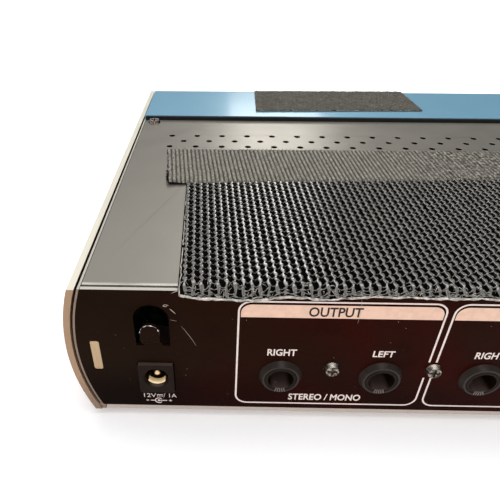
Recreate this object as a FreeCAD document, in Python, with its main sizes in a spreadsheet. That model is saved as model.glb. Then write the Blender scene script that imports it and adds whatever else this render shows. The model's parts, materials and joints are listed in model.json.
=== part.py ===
"""Half-rack effects unit: a low steel and aluminium box between two bowed side cheeks.

+Z is up, +Y runs from the rear connector panel to the front control panel, and the origin is
under the middle of the box, on the plane that its rubber feet stand on. Sizes are millimetres.

The driving dimensions are the cells of one spreadsheet. Every size and place below is an
expression of those cells, so the document can be changed from the sheet.
"""

import FreeCAD, Part
import math
import os
import re

import Sketcher

DIMENSIONS = [
    # Whole box
    ("plate_width", 204.75, "width between the two side frames, at the top"),
    ("plate_top", 44.5, "height of the top plate's upper face"),
    ("rear_face", -79.35, "Y of the rear panel's outer face"),
    ("body_depth", 146.5, "rear panel face to front panel face"),
    ("foot_height", 2.5, "gap that the feet keep under the box"),
    ("wall_thick", 1.6, "base pan and front shell sheet"),
    ("panel_thick", 1.0, "rear panel sheet"),
    ("plate_thick", 1.2, "top plate sheet"),
    # Bowed sides: concentric arcs about one line on each side
    ("bow_reach", 5.8, "how far the cheek bows out past the top plate"),
    ("bow_radius", 62.3, "radius of the cheek's outer face"),
    ("bow_drop", 19.6, "depth of the bow's widest line below the top plate"),
    ("cheek_thick", 1.6, "cheek wall"),
    ("cheek_gap", 0.6, "dark joint between cheek and side frame"),
    ("frame_thick", 0.5, "side frame wall"),
    ("edge_gap", 0.1, "joint between side frame and rear panel"),
    ("flange_reach", 9.0, "how far the side frame's flanges reach in"),
    ("flange_thick", 1.2, "side frame's flanges"),
    # Front shell
    ("shell_start", 109.4, "rear edge of the front shell's lips, from the rear face"),
    ("shell_rise", 1.5, "how far the front shell stands above the top plate"),
    ("shell_corner", 5.0, "outer bend radius of the front shell"),
    # Top plate vents
    ("vent_pitch", 9.45, "spacing of the vent holes along a row"),
    ("vent_row", 5.03, "spacing of the three rows"),
    ("vent_start", 12.6, "first hole from the plate's left edge"),
    ("vent_depth", 81.6, "rearmost row from the rear face"),
    ("vent_radius", 1.05, "vent hole"),
    # Rear panel
    ("jack_pitch", 25.4, "spacing of the sockets"),
    ("jack_start", 47.6, "first socket from the plate's left edge"),
    ("jack_drop", 27.6, "socket centres below the plate top"),
    ("jack_bore", 3.25, "socket bore radius, for a 6.35 mm plug"),
    ("nose_radius", 4.1, "socket's threaded nose"),
    ("nut_radius", 5.45, "socket's ring nut"),
    ("screw_drop", 24.6, "rear panel screws below the plate top"),
    ("inlet_left", 11.4, "power inlet from the plate's left edge"),
    ("inlet_drop", 23.7, "power inlet's top edge below the plate top"),
    ("inlet_width", 9.0, "power inlet housing"),
    ("inlet_tall", 10.3, "power inlet housing"),
    ("din_radius", 7.6, "control socket's nose"),
    ("arch_left", 11.6, "cable arch from the plate's left edge"),
    ("arch_width", 8.4, "cable arch"),
    ("arch_drop", 4.5, "top of the cable arch below the plate top"),
    ("arch_tall", 13.0, "cable arch"),
    ("hook_width", 4.6, "cable hook tab"),
    ("hook_reach", 3.3, "how far the cable hook stands out of the panel"),
    # Fastening tape stuck on by an owner
    ("hook_thick", 2.6, "hook tape, base and hooks"),
    ("loop_thick", 1.5, "loop tape, base and pile"),
    # Boards
    ("board_thick", 1.6, "circuit boards"),
    ("board_height", 8.9, "underside of the main board"),
    ("front_board", 131.0, "rear face of the front board, from the rear face"),
    # Controls
    ("knob_radius", 7.5, "small knobs"),
    ("dial_radius", 12.5, "large dial"),
    ("knob_gap", 0.8, "knob's rear face to the front panel"),
    ("knob_length", 12.2, "small knobs"),
    ("dial_length", 14.7, "large dial"),
    ("shaft_radius", 3.0, "control shafts"),
    ("running_gap", 0.05, "clearance round a shaft"),
    ("control_height", 24.5, "height of the knobs' axes"),
    ("button_gap", 0.25, "clearance round a button"),
    ("button_proud", 1.6, "how far a button stands out at rest"),
]

doc = FreeCAD.newDocument("effects_unit")
sheet = doc.addObject("Spreadsheet::Sheet", "sheet")
for row, (alias, size, note) in enumerate(DIMENSIONS, 1):
    sheet.set(f"A{row}", alias)
    sheet.set(f"B{row}", str(size))
    sheet.set(f"C{row}", note)
    sheet.setAlias(f"B{row}", alias)
doc.recompute()
SIZES = {alias: size for alias, size, _ in DIMENSIONS}


# ---------------------------------------------------------------- expressions


def cell(text):
    """The expression with each alias in it pointing at the sheet."""
    return re.sub(r"[a-z_]+", lambda m: f"sheet.{m[0]}" if m[0] in SIZES else m[0], str(text))


def number(text):
    """What an expression comes to with the sizes above, to start a sketch near its final form."""
    worked = re.sub(r"[a-z_]+", lambda m: f"({SIZES[m[0]]})" if m[0] in SIZES else m[0], str(text))
    return FreeCAD.Units.Quantity(worked).Value


def bind(obj, **properties):
    """Ties properties of an object to expressions of the sheet."""
    for name, text in properties.items():
        obj.setExpression(name, cell(text))
    return obj


def place(obj, at):
    """Ties an object's position to three expressions."""
    for axis, text in zip("xyz", at):
        obj.setExpression(f"Placement.Base.{axis}", cell(text))
    return obj


def from_left(text):
    """X of a point that far in from the plate's left edge."""
    return f"{text} - plate_width / 2"


def from_rear(text):
    """Y of a point that far in front of the rear face."""
    return f"rear_face + {text}"


def below_top(text):
    """Z of a point that far below the top plate's upper face."""
    return f"plate_top - ({text})"


# ---------------------------------------------------------------- solids


AXES = {
    "X": FreeCAD.Rotation(FreeCAD.Vector(0, 1, 0), 90),
    "Y": FreeCAD.Rotation(FreeCAD.Vector(1, 0, 0), -90),
    "Z": FreeCAD.Rotation(),
}


def block(name, at, size):
    """A box from its lowest corner and its size."""
    obj = doc.addObject("Part::Box", name)
    length, width, height = size
    bind(obj, Length=length, Width=width, Height=height)
    return place(obj, at)


def rod(name, at, radius, length, along="Y"):
    """A cylinder from the centre of its start and its radius and length."""
    obj = doc.addObject("Part::Cylinder", name)
    obj.Placement.Rotation = AXES[along]
    bind(obj, Radius=radius, Height=length)
    return place(obj, at)


def taper(name, at, first, second, length, along="Y"):
    """A cone frustum from the centre of its start."""
    obj = doc.addObject("Part::Cone", name)
    obj.Placement.Rotation = AXES[along]
    bind(obj, Radius1=first, Radius2=second, Height=length)
    return place(obj, at)


def join(name, parts):
    """One solid made of overlapping or touching parts."""
    obj = doc.addObject("Part::MultiFuse", name)
    obj.Shapes = parts
    obj.Refine = True
    return obj


def cut(name, base, tools):
    """The base less the tools."""
    obj = doc.addObject("Part::Cut", name)
    obj.Base = base
    obj.Tool = tools[0] if len(tools) == 1 else join(name + "_tools", tools)
    return obj


def overlap(name, first, second):
    """What two solids share."""
    obj = doc.addObject("Part::Common", name)
    obj.Base = first
    obj.Tool = second
    return obj


def group(name, parts):
    """Several separate solids in one node."""
    obj = doc.addObject("Part::Compound", name)
    obj.Links = parts
    return obj


def rounded(name, base, radius, along="Y"):
    """The base with its edges along one axis rounded."""
    doc.recompute()
    direction = FreeCAD.Vector(along == "X", along == "Y", along == "Z")
    edges = []
    for index, edge in enumerate(base.Shape.Edges, 1):
        run = edge.Vertexes[-1].Point - edge.Vertexes[0].Point
        if abs(run.dot(direction)) > 0.999 * run.Length > 0:
            edges.append((index, radius, radius))
    obj = doc.addObject("Part::Fillet", name)
    obj.Base = base
    obj.Edges = edges
    return obj


def mirrored(name, source):
    """The same piece on the other side of the box."""
    obj = doc.addObject("Part::Mirroring", name)
    obj.Source = source
    obj.Normal = FreeCAD.Vector(1, 0, 0)
    return obj


def pin(sketch, edge, where, axis, text):
    """Ties one coordinate of a sketch point to an expression."""
    kind = "DistanceX" if axis == 0 else "DistanceY"
    index = sketch.addConstraint(Sketcher.Constraint(kind, -1, 1, edge, where, number(text)))
    sketch.setExpression(f"Constraints[{index}]", cell(text))


def outline(body, plane, corners, arcs=None):
    """A closed sketch on one of the body's own planes.

    corners are pairs of expressions. arcs maps the number of an edge, counted from the first
    corner, to its centre; one coordinate of the centre is pinned, since its ends settle the
    other one and the radius.
    """
    arcs = arcs or {}
    sketch = body.newObject("Sketcher::SketchObject", body.Label + "_sketch")
    support = next(f for f in body.Origin.OriginFeatures if f.Role == plane)
    sketch.AttachmentSupport = [(support, "")]
    sketch.MapMode = "FlatFace"
    spots = [FreeCAD.Vector(number(across), number(up), 0) for across, up in corners]
    count = len(spots)
    starts = []
    for edge, first in enumerate(spots):
        last = spots[(edge + 1) % count]
        starts.append(1)
        if edge not in arcs:
            sketch.addGeometry(Part.LineSegment(first, last), False)
            continue
        across, up = (number(text) for text in arcs[edge])
        centre = FreeCAD.Vector(across, up, 0)
        angles = [math.atan2(spot.y - up, spot.x - across) for spot in (first, last)]
        if (angles[1] - angles[0]) % (2 * math.pi) > math.pi + 0.001:
            angles.reverse()
            starts[edge] = 2
        circle = Part.Circle(centre, FreeCAD.Vector(0, 0, 1), first.distanceToPoint(centre))
        sketch.addGeometry(Part.ArcOfCircle(circle, *angles), False)
    for edge, corner in enumerate(corners):
        follower = (edge + 1) % count
        ends = (edge, 3 - starts[edge], follower, starts[follower])
        sketch.addConstraint(Sketcher.Constraint("Coincident", *ends))
        for axis in (0, 1):
            pin(sketch, edge, starts[edge], axis, corner[axis])
    for edge, centre in arcs.items():
        chord = spots[(edge + 1) % count] - spots[edge]
        axis = 0 if abs(chord.y) > abs(chord.x) else 1
        pin(sketch, edge, 3, axis, centre[axis])
    return sketch


def padded_outline(name, plane, corners, length, at=("0", "0", "0"), arcs=None):
    """A body with one pad of a closed outline. On XZ it grows towards -Y, on YZ towards +X."""
    body = doc.addObject("PartDesign::Body", name)
    sketch = outline(body, plane, corners, arcs)
    pad = body.newObject("PartDesign::Pad", name + "_pad")
    pad.Profile = sketch
    bind(pad, Length=length)
    return place(body, at)


def turned(name, profile, at, along="Y"):
    """A body turned from a half outline of (along the axis, radius) corners."""
    body = doc.addObject("PartDesign::Body", name)
    sketch = outline(body, "XZ_Plane", [(radius, up) for up, radius in profile])
    spin = body.newObject("PartDesign::Revolution", name + "_turned")
    spin.Profile = sketch
    spin.ReferenceAxis = (sketch, ["V_Axis"])
    spin.Angle = 360
    body.Placement.Rotation = AXES[along]
    return place(body, at)


# ---------------------------------------------------------------- side arcs


LEFT_BOW = (from_left("bow_radius - bow_reach"), below_top("bow_drop"))
RIGHT_BOW = ("plate_width / 2 - bow_radius + bow_reach", below_top("bow_drop"))


def arc_x(radius_text, height_text):
    """X where a left arc passes a height, as an expression."""
    rise = f"({height_text} - ({below_top('bow_drop')}))"
    return f"bow_radius - bow_reach - plate_width / 2 - sqrt(({radius_text}) ^ 2 - {rise} ^ 2)"


CHEEK_INNER = "bow_radius - cheek_thick"
FRAME_OUTER = "bow_radius - cheek_thick - cheek_gap"
FRAME_INNER = "bow_radius - cheek_thick - cheek_gap - frame_thick"
PANEL_EDGE = "bow_radius - cheek_thick - cheek_gap - frame_thick - edge_gap"
BASE_TOP = "foot_height + wall_thick"


def bowed_section(name, radius_text, low, high, depth, front):
    """A slab between both side arcs, from low to high, padded back from its front face."""
    corners = [
        (arc_x(radius_text, high), high),
        (arc_x(radius_text, low), low),
        (f"-({arc_x(radius_text, low)})", low),
        (f"-({arc_x(radius_text, high)})", high),
    ]
    arcs = {0: LEFT_BOW, 2: RIGHT_BOW}
    return padded_outline(name, "XZ_Plane", corners, depth, ("0", front, "0"), arcs)


# ---------------------------------------------------------------- screws


def pan_screw(name, at, head, shank, length, tall=1.2, along="Y"):
    """A cross-head screw whose shank starts at its place and runs along the axis."""
    x, y, z = at
    back = {"Y": (x, f"{y} - {tall}", z), "Z": (x, y, f"{z} - {tall}")}[along]
    crown = taper(name + "_head", back, head * 0.78, head, tall, along)
    stem = rod(name + "_stem", at, shank, length, along)
    slots = []
    half, slot = head * 0.6, 0.3
    for turn in range(2):
        wide = (half, slot)[turn], (slot, half)[turn]
        if along == "Y":
            corner = (f"{x} - {wide[0]}", f"{y} - {tall} - 0.1", f"{z} - {wide[1]}")
            size = (2 * wide[0], 0.8, 2 * wide[1])
        else:
            corner = (f"{x} - {wide[0]}", f"{y} - {wide[1]}", f"{z} - {tall} - 0.1")
            size = (2 * wide[0], 2 * wide[1], 0.8)
        slots.append(block(f"{name}_slot_{turn}", corner, size))
    return cut(name, join(name + "_blank", [crown, stem]), slots)


def top_screw(name, at, head, shank, length, tall=1.2):
    """A pan screw driven down from above: its shank hangs below its place."""
    x, y, z = at
    crown = taper(name + "_head", at, head, head * 0.78, tall, "Z")
    stem = rod(name + "_stem", (x, y, f"{z} - {length}"), shank, f"{length} + 0.1", "Z")
    half, slot = head * 0.6, 0.3
    bars = [
        block(
            name + "_bar_0",
            (f"{x} - {half}", f"{y} - {slot}", f"{z} + {tall} - 0.7"),
            (2 * half, 2 * slot, 0.8),
        ),
        block(
            name + "_bar_1",
            (f"{x} - {slot}", f"{y} - {half}", f"{z} + {tall} - 0.7"),
            (2 * slot, 2 * half, 0.8),
        ),
    ]
    return cut(name, join(name + "_blank", [crown, stem]), bars)


# ---------------------------------------------------------------- side cheeks and frames


def side_cheek():
    """Bowed outer cover with a bottom lip and two screw bosses on its inner face."""
    corners = [
        (arc_x("bow_radius", "plate_top"), "plate_top"),
        (arc_x("bow_radius", "foot_height"), "foot_height"),
        (arc_x(CHEEK_INNER, "foot_height"), "foot_height"),
        (arc_x(CHEEK_INNER, "plate_top"), "plate_top"),
    ]
    arcs = {0: LEFT_BOW, 2: LEFT_BOW}
    front = from_rear("body_depth + 0.6")
    wall = padded_outline(
        "cheek_wall", "XZ_Plane", corners, "body_depth + 0.9", ("0", front, "0"), arcs
    )
    lip_size = (2.1, "shell_start - 0.6", "wall_thick - 0.1")
    lip = block("cheek_lip", (from_left("-0.9"), from_rear("0"), "foot_height"), lip_size)
    bosses = []
    pilots = []
    for index, along in enumerate(CHEEK_SCREWS):
        start = (from_left("-(bow_reach - 1)"), from_rear(along), below_top("bow_drop"))
        bosses.append(rod(f"cheek_boss_{index}", start, 2.6, 1.6, "X"))
        pilot = (from_left("-(bow_reach - 1.9)"), from_rear(along), below_top("bow_drop"))
        pilots.append(rod(f"cheek_pilot_{index}", pilot, 1.05, 4.0, "X"))
    return cut("cheek_left", join("cheek_blank", [wall, lip, *bosses]), pilots)


def side_frame():
    """Bowed steel channel that carries the panels: wall, two flanges and a rear ear.

    The ear's tongue fills the slot in the rear panel, which sets the panel's place.
    """
    low = BASE_TOP
    corners = [
        (arc_x(FRAME_OUTER, "plate_top"), "plate_top"),
        (arc_x(FRAME_OUTER, low), low),
        (arc_x(FRAME_INNER, low), low),
        (arc_x(FRAME_INNER, "plate_top"), "plate_top"),
    ]
    arcs = {0: LEFT_BOW, 2: LEFT_BOW}
    length = "shell_start - 0.3"
    start = ("0", from_rear(length), "0")
    wall = padded_outline("frame_wall", "XZ_Plane", corners, length, start, arcs)
    depth = "shell_start - 0.5 - panel_thick"
    start = from_rear("panel_thick + 0.1")
    top = block(
        "frame_top_flange",
        (from_left("-0.6"), start, below_top("plate_thick + flange_thick")),
        ("flange_reach + 0.6", depth, "flange_thick"),
    )
    bottom = block(
        "frame_bottom_flange", (from_left("0.1"), start, low), (
            "flange_reach - 0.1", depth, "flange_thick"
        )
    )
    ear = block("frame_ear", (from_left("-3.17"), start, below_top("28.5")), (8.0, 1.5, 14.0))
    tongue = block(
        "frame_tongue_block", (from_left("0.15"), from_rear("0.2"), below_top("26.45")), (2.2, 2.0, 9.9)
    )
    blank = join("frame_blank", [wall, top, bottom, ear, rounded("frame_tongue", tongue, 0.55)])
    holes = []
    for index, along in enumerate(CHEEK_SCREWS):
        start = (from_left("-(bow_reach + 1)"), from_rear(along), below_top("bow_drop"))
        holes.append(rod(f"frame_boss_hole_{index}", start, 2.8, 6.0, "X"))
    spot = (from_left("4.2"), from_rear("105.3"), below_top("6"))
    holes.append(rod("frame_plate_hole", spot, 1.3, 6.0, "Z"))
    for index, along in enumerate(BASE_SCREWS):
        hole = (from_left("5.5"), from_rear(along), "foot_height")
        holes.append(rod(f"frame_base_hole_{index}", hole, 1.3, 6.0, "Z"))
    return cut("end_frame_left", blank, holes)


CHEEK_SCREWS = (25.0, 85.0)
BASE_SCREWS = (12.0, 55.0, 98.0)


def cheek_screw(name, along):
    """A pan screw from inside the box into a cheek boss, clamping it on a washer head."""
    inner = from_left("-(bow_reach - 2.8)")
    head = rod(name + "_head", (inner, from_rear(along), below_top("bow_drop")), 3.3, 0.9, "X")
    stem = rod(
        name + "_stem",
        (from_left("-(bow_reach - 2)"), from_rear(along), below_top("bow_drop")),
        1.0,
        0.9,
        "X",
    )
    slot_at = (
        from_left("-(bow_reach - 3.2)"), f"{from_rear(along)} - 1.8", f"{below_top('bow_drop')} - 0.3"
    )
    slot = block(name + "_slot", slot_at, (0.6, 3.6, 0.6))
    return cut(name, join(name + "_blank", [head, stem]), [slot])


# ---------------------------------------------------------------- panels and shells


SOCKETS = ("output_jack_right", "output_jack_left", "input_jack_right", "input_jack_left", "pedal_jack")
DIN_LEFT = 189.2
USB_LEFT = 166.6
USB_DROP = 34.0
USB_WIDTH = 12.0
USB_TALL = 10.8


def socket_x(index):
    return from_left(f"(jack_start + {index} * jack_pitch)")


def panel_screw_x(index):
    return from_left(f"(jack_start + {index + 0.5} * jack_pitch)")


def hook_tab():
    """The cable hook: a tab of the panel that leans out and stands up in front of the arch."""
    foot = "plate_top - arch_drop - arch_tall"
    side = [
        (from_rear("0"), foot),
        (from_rear("panel_thick"), foot),
        (from_rear("panel_thick"), f"{foot} + 0.9"),
        (from_rear("panel_thick - hook_reach"), f"{foot} + 5.2"),
        (from_rear("panel_thick - hook_reach"), f"{foot} + 10.0"),
        (from_rear("-hook_reach"), f"{foot} + 10.0"),
        (from_rear("-hook_reach"), f"{foot} + 4.6"),
        (from_rear("0"), f"{foot} + 0.4"),
    ]
    middle = from_left("(arch_left + arch_width / 2)")
    bent = padded_outline(
        "hook_bent", "YZ_Plane", side, "hook_width", (f"{middle} - hook_width / 2", "0", "0")
    )
    crown = (middle, f"{foot} + 9.7 - hook_width / 2")
    front = [
        (f"{middle} + hook_width / 2", f"{foot} + 9.7 - hook_width / 2"),
        (f"{middle} - hook_width / 2", f"{foot} + 9.7 - hook_width / 2"),
        (f"{middle} - hook_width / 2", f"{foot}"),
        (f"{middle} + hook_width / 2", f"{foot}"),
    ]
    front_half = padded_outline(
        "hook_front", "XZ_Plane", front, 12.0, ("0", from_rear("6"), "0"), {0: crown}
    )
    return overlap("hook_tab", bent, front_half)


def panel_boss(index):
    """A moulded block on the main board that one rear panel screw bites into."""
    x = panel_screw_x(index)
    at = (f"{x} - 4", from_rear("panel_thick + 0.1"), BOARD_TOP)
    body = block(f"boss_body_{index}", at, (8.0, 10.0, 13.4))
    bore = rod(f"boss_bore_{index}", (x, from_rear("0"), below_top("screw_drop")), 1.22, 8.5)
    return cut(f"panel_boss_{index}", body, [bore])


def rear_panel():
    """Black steel sheet with every connector opening, a folded top flange and the cable hook."""
    sheet_body = bowed_section(
        "panel_sheet", PANEL_EDGE, BASE_TOP, "plate_top", "panel_thick", from_rear("panel_thick")
    )
    behind = from_rear("-1")
    through = "panel_thick + 2"
    tools = []
    for index in range(len(SOCKETS)):
        at = (socket_x(index), behind, below_top("jack_drop"))
        tools.append(rod(f"panel_jack_hole_{index}", at, "nose_radius + 0.1", through))
        at = (panel_screw_x(index), behind, below_top("screw_drop"))
        tools.append(rod(f"panel_screw_hole_{index}", at, 1.35, through))
    tools.append(
        block(
            "panel_inlet_hole",
            (from_left("(inlet_left - 0.15)"), behind, below_top("inlet_drop + inlet_tall + 0.15")),
            ("inlet_width + 0.3", through, "inlet_tall + 0.3"),
        )
    )
    tools.append(
        rod(
            "panel_din_hole",
            (from_left(DIN_LEFT), behind, below_top("jack_drop")),
            "din_radius + 0.15",
            through,
        ),
    )
    tools.append(
        block(
            "panel_usb_hole",
            (from_left(USB_LEFT - 0.15), behind, below_top(USB_DROP + 0.15)),
            (USB_WIDTH + 0.3, through, USB_TALL + 0.3),
        )
    )
    low = "plate_top - arch_drop - arch_tall"
    tools.append(
        block(
            "panel_arch_hole",
            (from_left("arch_left"), behind, low),
            ("arch_width", through, "arch_tall - arch_width / 2"),
        )
    )
    crown = (from_left("(arch_left + arch_width / 2)"), behind, below_top("arch_drop + arch_width / 2"))
    tools.append(rod("panel_arch_crown", crown, "arch_width / 2", through))
    for side in (0, 1):
        slot_x = from_left("0") if side == 0 else "plate_width / 2 - 2.5"
        slot = block(f"panel_slot_{side}", (slot_x, behind, below_top("26.6")), (2.5, through, 10.2))
        tools.append(rounded(f"panel_tongue_slot_{side}", slot, 0.7))
    flange_at = (
        from_left("(flange_reach + 0.6)"),
        from_rear("panel_thick - 0.1"),
        below_top("plate_thick + flange_thick"),
    )
    flange = block(
        "panel_flange", flange_at, ("plate_width - 2 * (flange_reach + 0.6)", 8.0, "flange_thick")
    )
    return join("rear_panel", [cut("panel_pierced", sheet_body, tools), flange, hook_tab()])


def top_plate():
    """Steel cover with three staggered rows of vent holes and a screw at each front corner."""
    body = doc.addObject("PartDesign::Body", "plate_body")
    left = "0.3 - plate_width / 2"
    right = "plate_width / 2 - 0.3"
    near, far = from_rear("panel_thick + 0.8"), from_rear("shell_start - 1.2")
    sketch = outline(body, "XY_Plane", [(left, near), (right, near), (right, far), (left, far)])
    pad = body.newObject("PartDesign::Pad", "plate_pad")
    pad.Profile = sketch
    bind(pad, Length="plate_thick")
    doc.recompute()
    for row in range(3):
        stagger = row % 2
        start = from_left(f"(vent_start + {stagger * 0.5} * vent_pitch)")
        depth = from_rear(f"vent_depth + {row} * vent_row")
        vents = body.newObject("Sketcher::SketchObject", f"vent_sketch_{row}")
        support = next(f for f in body.Origin.OriginFeatures if f.Role == "XY_Plane")
        vents.AttachmentSupport = [(support, "")]
        vents.MapMode = "FlatFace"
        centre = FreeCAD.Vector(number(start), number(depth), 0)
        up = FreeCAD.Vector(0, 0, 1)
        vents.addGeometry(Part.Circle(centre, up, number("vent_radius")), False)
        pin(vents, 0, 3, 0, start)
        pin(vents, 0, 3, 1, depth)
        index = vents.addConstraint(Sketcher.Constraint("Radius", 0, number("vent_radius")))
        vents.setExpression(f"Constraints[{index}]", cell("vent_radius"))
        hole = body.newObject("PartDesign::Pocket", f"vent_{row}")
        hole.Profile = vents
        hole.Midplane = True
        bind(hole, Length="plate_thick * 4")
        pattern = body.newObject("PartDesign::LinearPattern", f"vent_row_{row}")
        pattern.Originals = [hole]
        pattern.Direction = (vents, ["H_Axis"])
        gaps = VENT_HOLES - 1 - stagger
        bind(pattern, Length=f"vent_pitch * {gaps}")
        pattern.Occurrences = gaps + 1
        body.Tip = pattern
    place(body, ("0", "0", below_top("plate_thick")))
    holes = []
    for side in (-1, 1):
        at = (f"{side} * (plate_width / 2 - 4.2)", from_rear("105.3"), below_top("3"))
        holes.append(rod(f"plate_screw_hole_{side}", at, 1.5, 5.0, "Z"))
    return cut("top_plate", body, holes)


VENT_HOLES = 20


def front_shell():
    """Blue aluminium wrap: top lip, pierced front panel and bottom lip in one bent sheet."""
    top, low = "plate_top + shell_rise", "foot_height"
    front, back = from_rear("body_depth"), from_rear("shell_start")
    bend = "shell_corner"
    side = [
        (back, top),
        (f"{front} - {bend}", top),
        (front, f"{top} - {bend}"),
        (front, f"{low} + {bend}"),
        (f"{front} - {bend}", low),
        (back, low),
        (back, f"{low} + wall_thick"),
        (f"{front} - {bend}", f"{low} + wall_thick"),
        (f"{front} - wall_thick", f"{low} + {bend}"),
        (f"{front} - wall_thick", f"{top} - {bend}"),
        (f"{front} - {bend}", f"{top} - wall_thick"),
        (back, f"{top} - wall_thick"),
    ]
    upper = (f"{front} - {bend}", f"{top} - {bend}")
    lower = (f"{front} - {bend}", f"{low} + {bend}")
    arcs = {1: upper, 3: lower, 7: lower, 9: upper}
    width = "plate_width + 2 * bow_reach"
    wrap = padded_outline("shell_wrap", "YZ_Plane", side, width, (f"-({width}) / 2", "0", "0"), arcs)
    edge = f"{CHEEK_INNER} - 0.4"
    trim = bowed_section(
        "shell_trim", edge, "foot_height - 1", f"{top} + 1", "body_depth - shell_start + 4", from_rear(
            "body_depth + 2"
        )
    )
    blank = overlap("shell_blank", wrap, trim)
    inside = from_rear("body_depth - 4")
    tools = []
    for name, x, dial in KNOBS:
        radius = "shaft_radius + 0.4"
        tools.append(rod(f"shell_hole_{name}", (x, inside, "control_height"), radius, 8.0))
    for name, x, z, wide, tall in BUTTONS:
        at = (f"{x} - {wide / 2} - button_gap", inside, f"{z} - {tall / 2} - button_gap")
        hole = block(
            f"shell_cut_{name}", at, (f"{wide} + 2 * button_gap", 8.0, f"{tall} + 2 * button_gap")
        )
        tools.append(rounded(f"shell_hole_{name}", hole, 1.45))
    at = (POWER_X, inside, "control_height")
    tools.append(rod("shell_hole_power", at, f"{POWER_RADIUS} + button_gap", 8.0))
    window = (
        f"{DISPLAY_X} - {DISPLAY_WIDE / 2} - 0.1", inside, f"{DISPLAY_Z} - {DISPLAY_TALL / 2} - 0.1"
    )
    opening = block("shell_window_block", window, (DISPLAY_WIDE + 0.2, 8.0, DISPLAY_TALL + 0.2))
    tools.append(rounded("shell_window", opening, 1.6))
    for index, (x, z) in enumerate(LIGHTS):
        tools.append(rod(f"shell_light_hole_{index}", (x, inside, z), 1.05, 8.0))
    return cut("front_shell", blank, tools)


def base_pan():
    """Bottom sheet with rows of slots and a tongue over the front shell's lower lip."""
    wide = "plate_width - 2.8"
    sheet_block = block(
        "base_sheet",
        (f"-({wide}) / 2", from_rear("0"), "foot_height"),
        (wide, "shell_start - 0.4", "wall_thick"),
    )
    tongue_wide = "plate_width - 2 * flange_reach - 1"
    tongue = block(
        "base_tongue", (f"-({tongue_wide}) / 2", from_rear("shell_start - 9.4"), BASE_TOP), (
            tongue_wide, 20.0, "wall_thick"
        )
    )
    blank = join("base_blank", [sheet_block, tongue])
    tools = []
    for row in range(2):
        for index in range(9):
            at = (f"{(index - 4) * 12 - 4}", from_rear(36 + row * 22), "foot_height - 1")
            tools.append(block(f"base_slot_{row}_{index}", at, (8.0, 2.4, 4.0)))
    for index, (x, y) in enumerate(BASE_SCREW_SPOTS):
        tools.append(
            rod(f"base_screw_hole_{index}", (x, from_rear(y), "foot_height - 1"), 1.5, 5.0, "Z")
        )
        tools.append(
            taper(f"base_sink_{index}", (x, from_rear(y), "foot_height - 0.01"), 2.7, 1.4, 1.21, "Z")
        )
    for index, (x, y) in enumerate(STANDOFFS):
        tools.append(
            rod(f"base_standoff_hole_{index}", (x, from_rear(y), "foot_height - 1"), 1.92, 5.0, "Z")
        )
    return cut("base_pan", blank, tools)


BASE_SCREW_SPOTS = [(f"{side} * (plate_width / 2 - 5.5)", y) for side in (-1, 1) for y in BASE_SCREWS]


def base_screw(name, x, y):
    """A countersunk screw from below through the base pan into a side frame's flange."""
    at = (x, from_rear(y), "foot_height")
    head = taper(name + "_head", at, 2.6, 1.3, 1.2, "Z")
    stem = rod(name + "_stem", at, 1.2, 5.0, "Z")
    bars = []
    for turn in range(2):
        wide = ((1.5, 0.3), (0.3, 1.5))[turn]
        corner = (f"{x} - {wide[0]}", f"{from_rear(y)} - {wide[1]}", "foot_height - 0.1")
        bars.append(block(f"{name}_bar_{turn}", corner, (2 * wide[0], 2 * wide[1], 0.8)))
    return cut(name, join(name + "_blank", [head, stem]), bars)


def seam_gasket():
    """Black strip that fills the joint behind the front shell and cushions the shell's lip."""
    wide = "plate_width - 0.6"
    upright = block(
        "gasket_upright",
        (f"-({wide}) / 2", from_rear("shell_start - 1.15"), below_top("plate_thick")),
        (wide, 1.1, "plate_thick + shell_rise - 0.2"),
    )
    pad_wide = "plate_width - 2 * flange_reach - 1"
    pad = block(
        "gasket_pad",
        (f"-({pad_wide}) / 2", from_rear("shell_start - 0.1"), below_top("plate_thick")),
        (pad_wide, 8.0, "plate_thick + shell_rise - wall_thick"),
    )
    return join("seam_gasket", [upright, pad])


def cross_rail():
    """Folded steel rail between the side frames, under the seam of top plate and front shell."""
    wide = "plate_width - 2 * flange_reach - 1"
    rail_at = (f"-({wide}) / 2", from_rear("shell_start - 11"), below_top("plate_thick + wall_thick"))
    flat = block("rail_flat", rail_at, (wide, 20.0, "wall_thick"))
    fold_at = (
        f"-({wide}) / 2", from_rear("shell_start - 11"), below_top("plate_thick + wall_thick + 6")
    )
    fold = block("rail_fold", fold_at, (wide, 1.2, 6.2))
    return join("cross_rail", [flat, fold])


def rubber_foot(name, x, y):
    """A round moulded foot, wider where it meets the base."""
    profile = [("0", "0"), ("0", "5.2"), ("0.4", "5.6"), ("foot_height", "6.2"), ("foot_height", "0")]
    return turned(name, profile, (x, from_rear(y), "0"), "Z")


# ---------------------------------------------------------------- sockets


def audio_jack(index, name):
    """A 6.35 mm socket: housing behind the panel, threaded nose through it, and a blind bore."""
    x, z = socket_x(index), below_top("jack_drop")
    housing = block(
        name + "_housing", (f"{x} - 6.2", from_rear("panel_thick + 0.1"), BOARD_TOP), (12.4, 25.0, 12.2)
    )
    nose = rod(name + "_nose", (x, from_rear("-1.3"), z), "nose_radius", "panel_thick + 2")
    lip = taper(name + "_lip", (x, from_rear("-1.5"), z), "nose_radius - 0.2", "nose_radius", 0.2)
    blank = join(name + "_blank", [housing, nose, lip])
    bore = rod(name + "_bore", (x, from_rear("-2"), z), "jack_bore", 24.0)
    well = block(name + "_well", (f"{x} - 1.6", from_rear("10"), f"{z} + 2"), (3.2, 12.0, 4.5))
    return cut(name, blank, [bore, well])


def jack_nut(index):
    """A conical bezel nut round a socket's nose."""
    x, z = socket_x(index), below_top("jack_drop")
    ring = taper(
        f"nut_ring_{index}", (x, from_rear("-1.4"), z), "nut_radius - 0.75", "nut_radius", 1.38
    )
    hole = rod(f"nut_hole_{index}", (x, from_rear("-2"), z), "nose_radius + running_gap", 3.0)
    return cut(f"jack_nut_{index}", ring, [hole])


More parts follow.
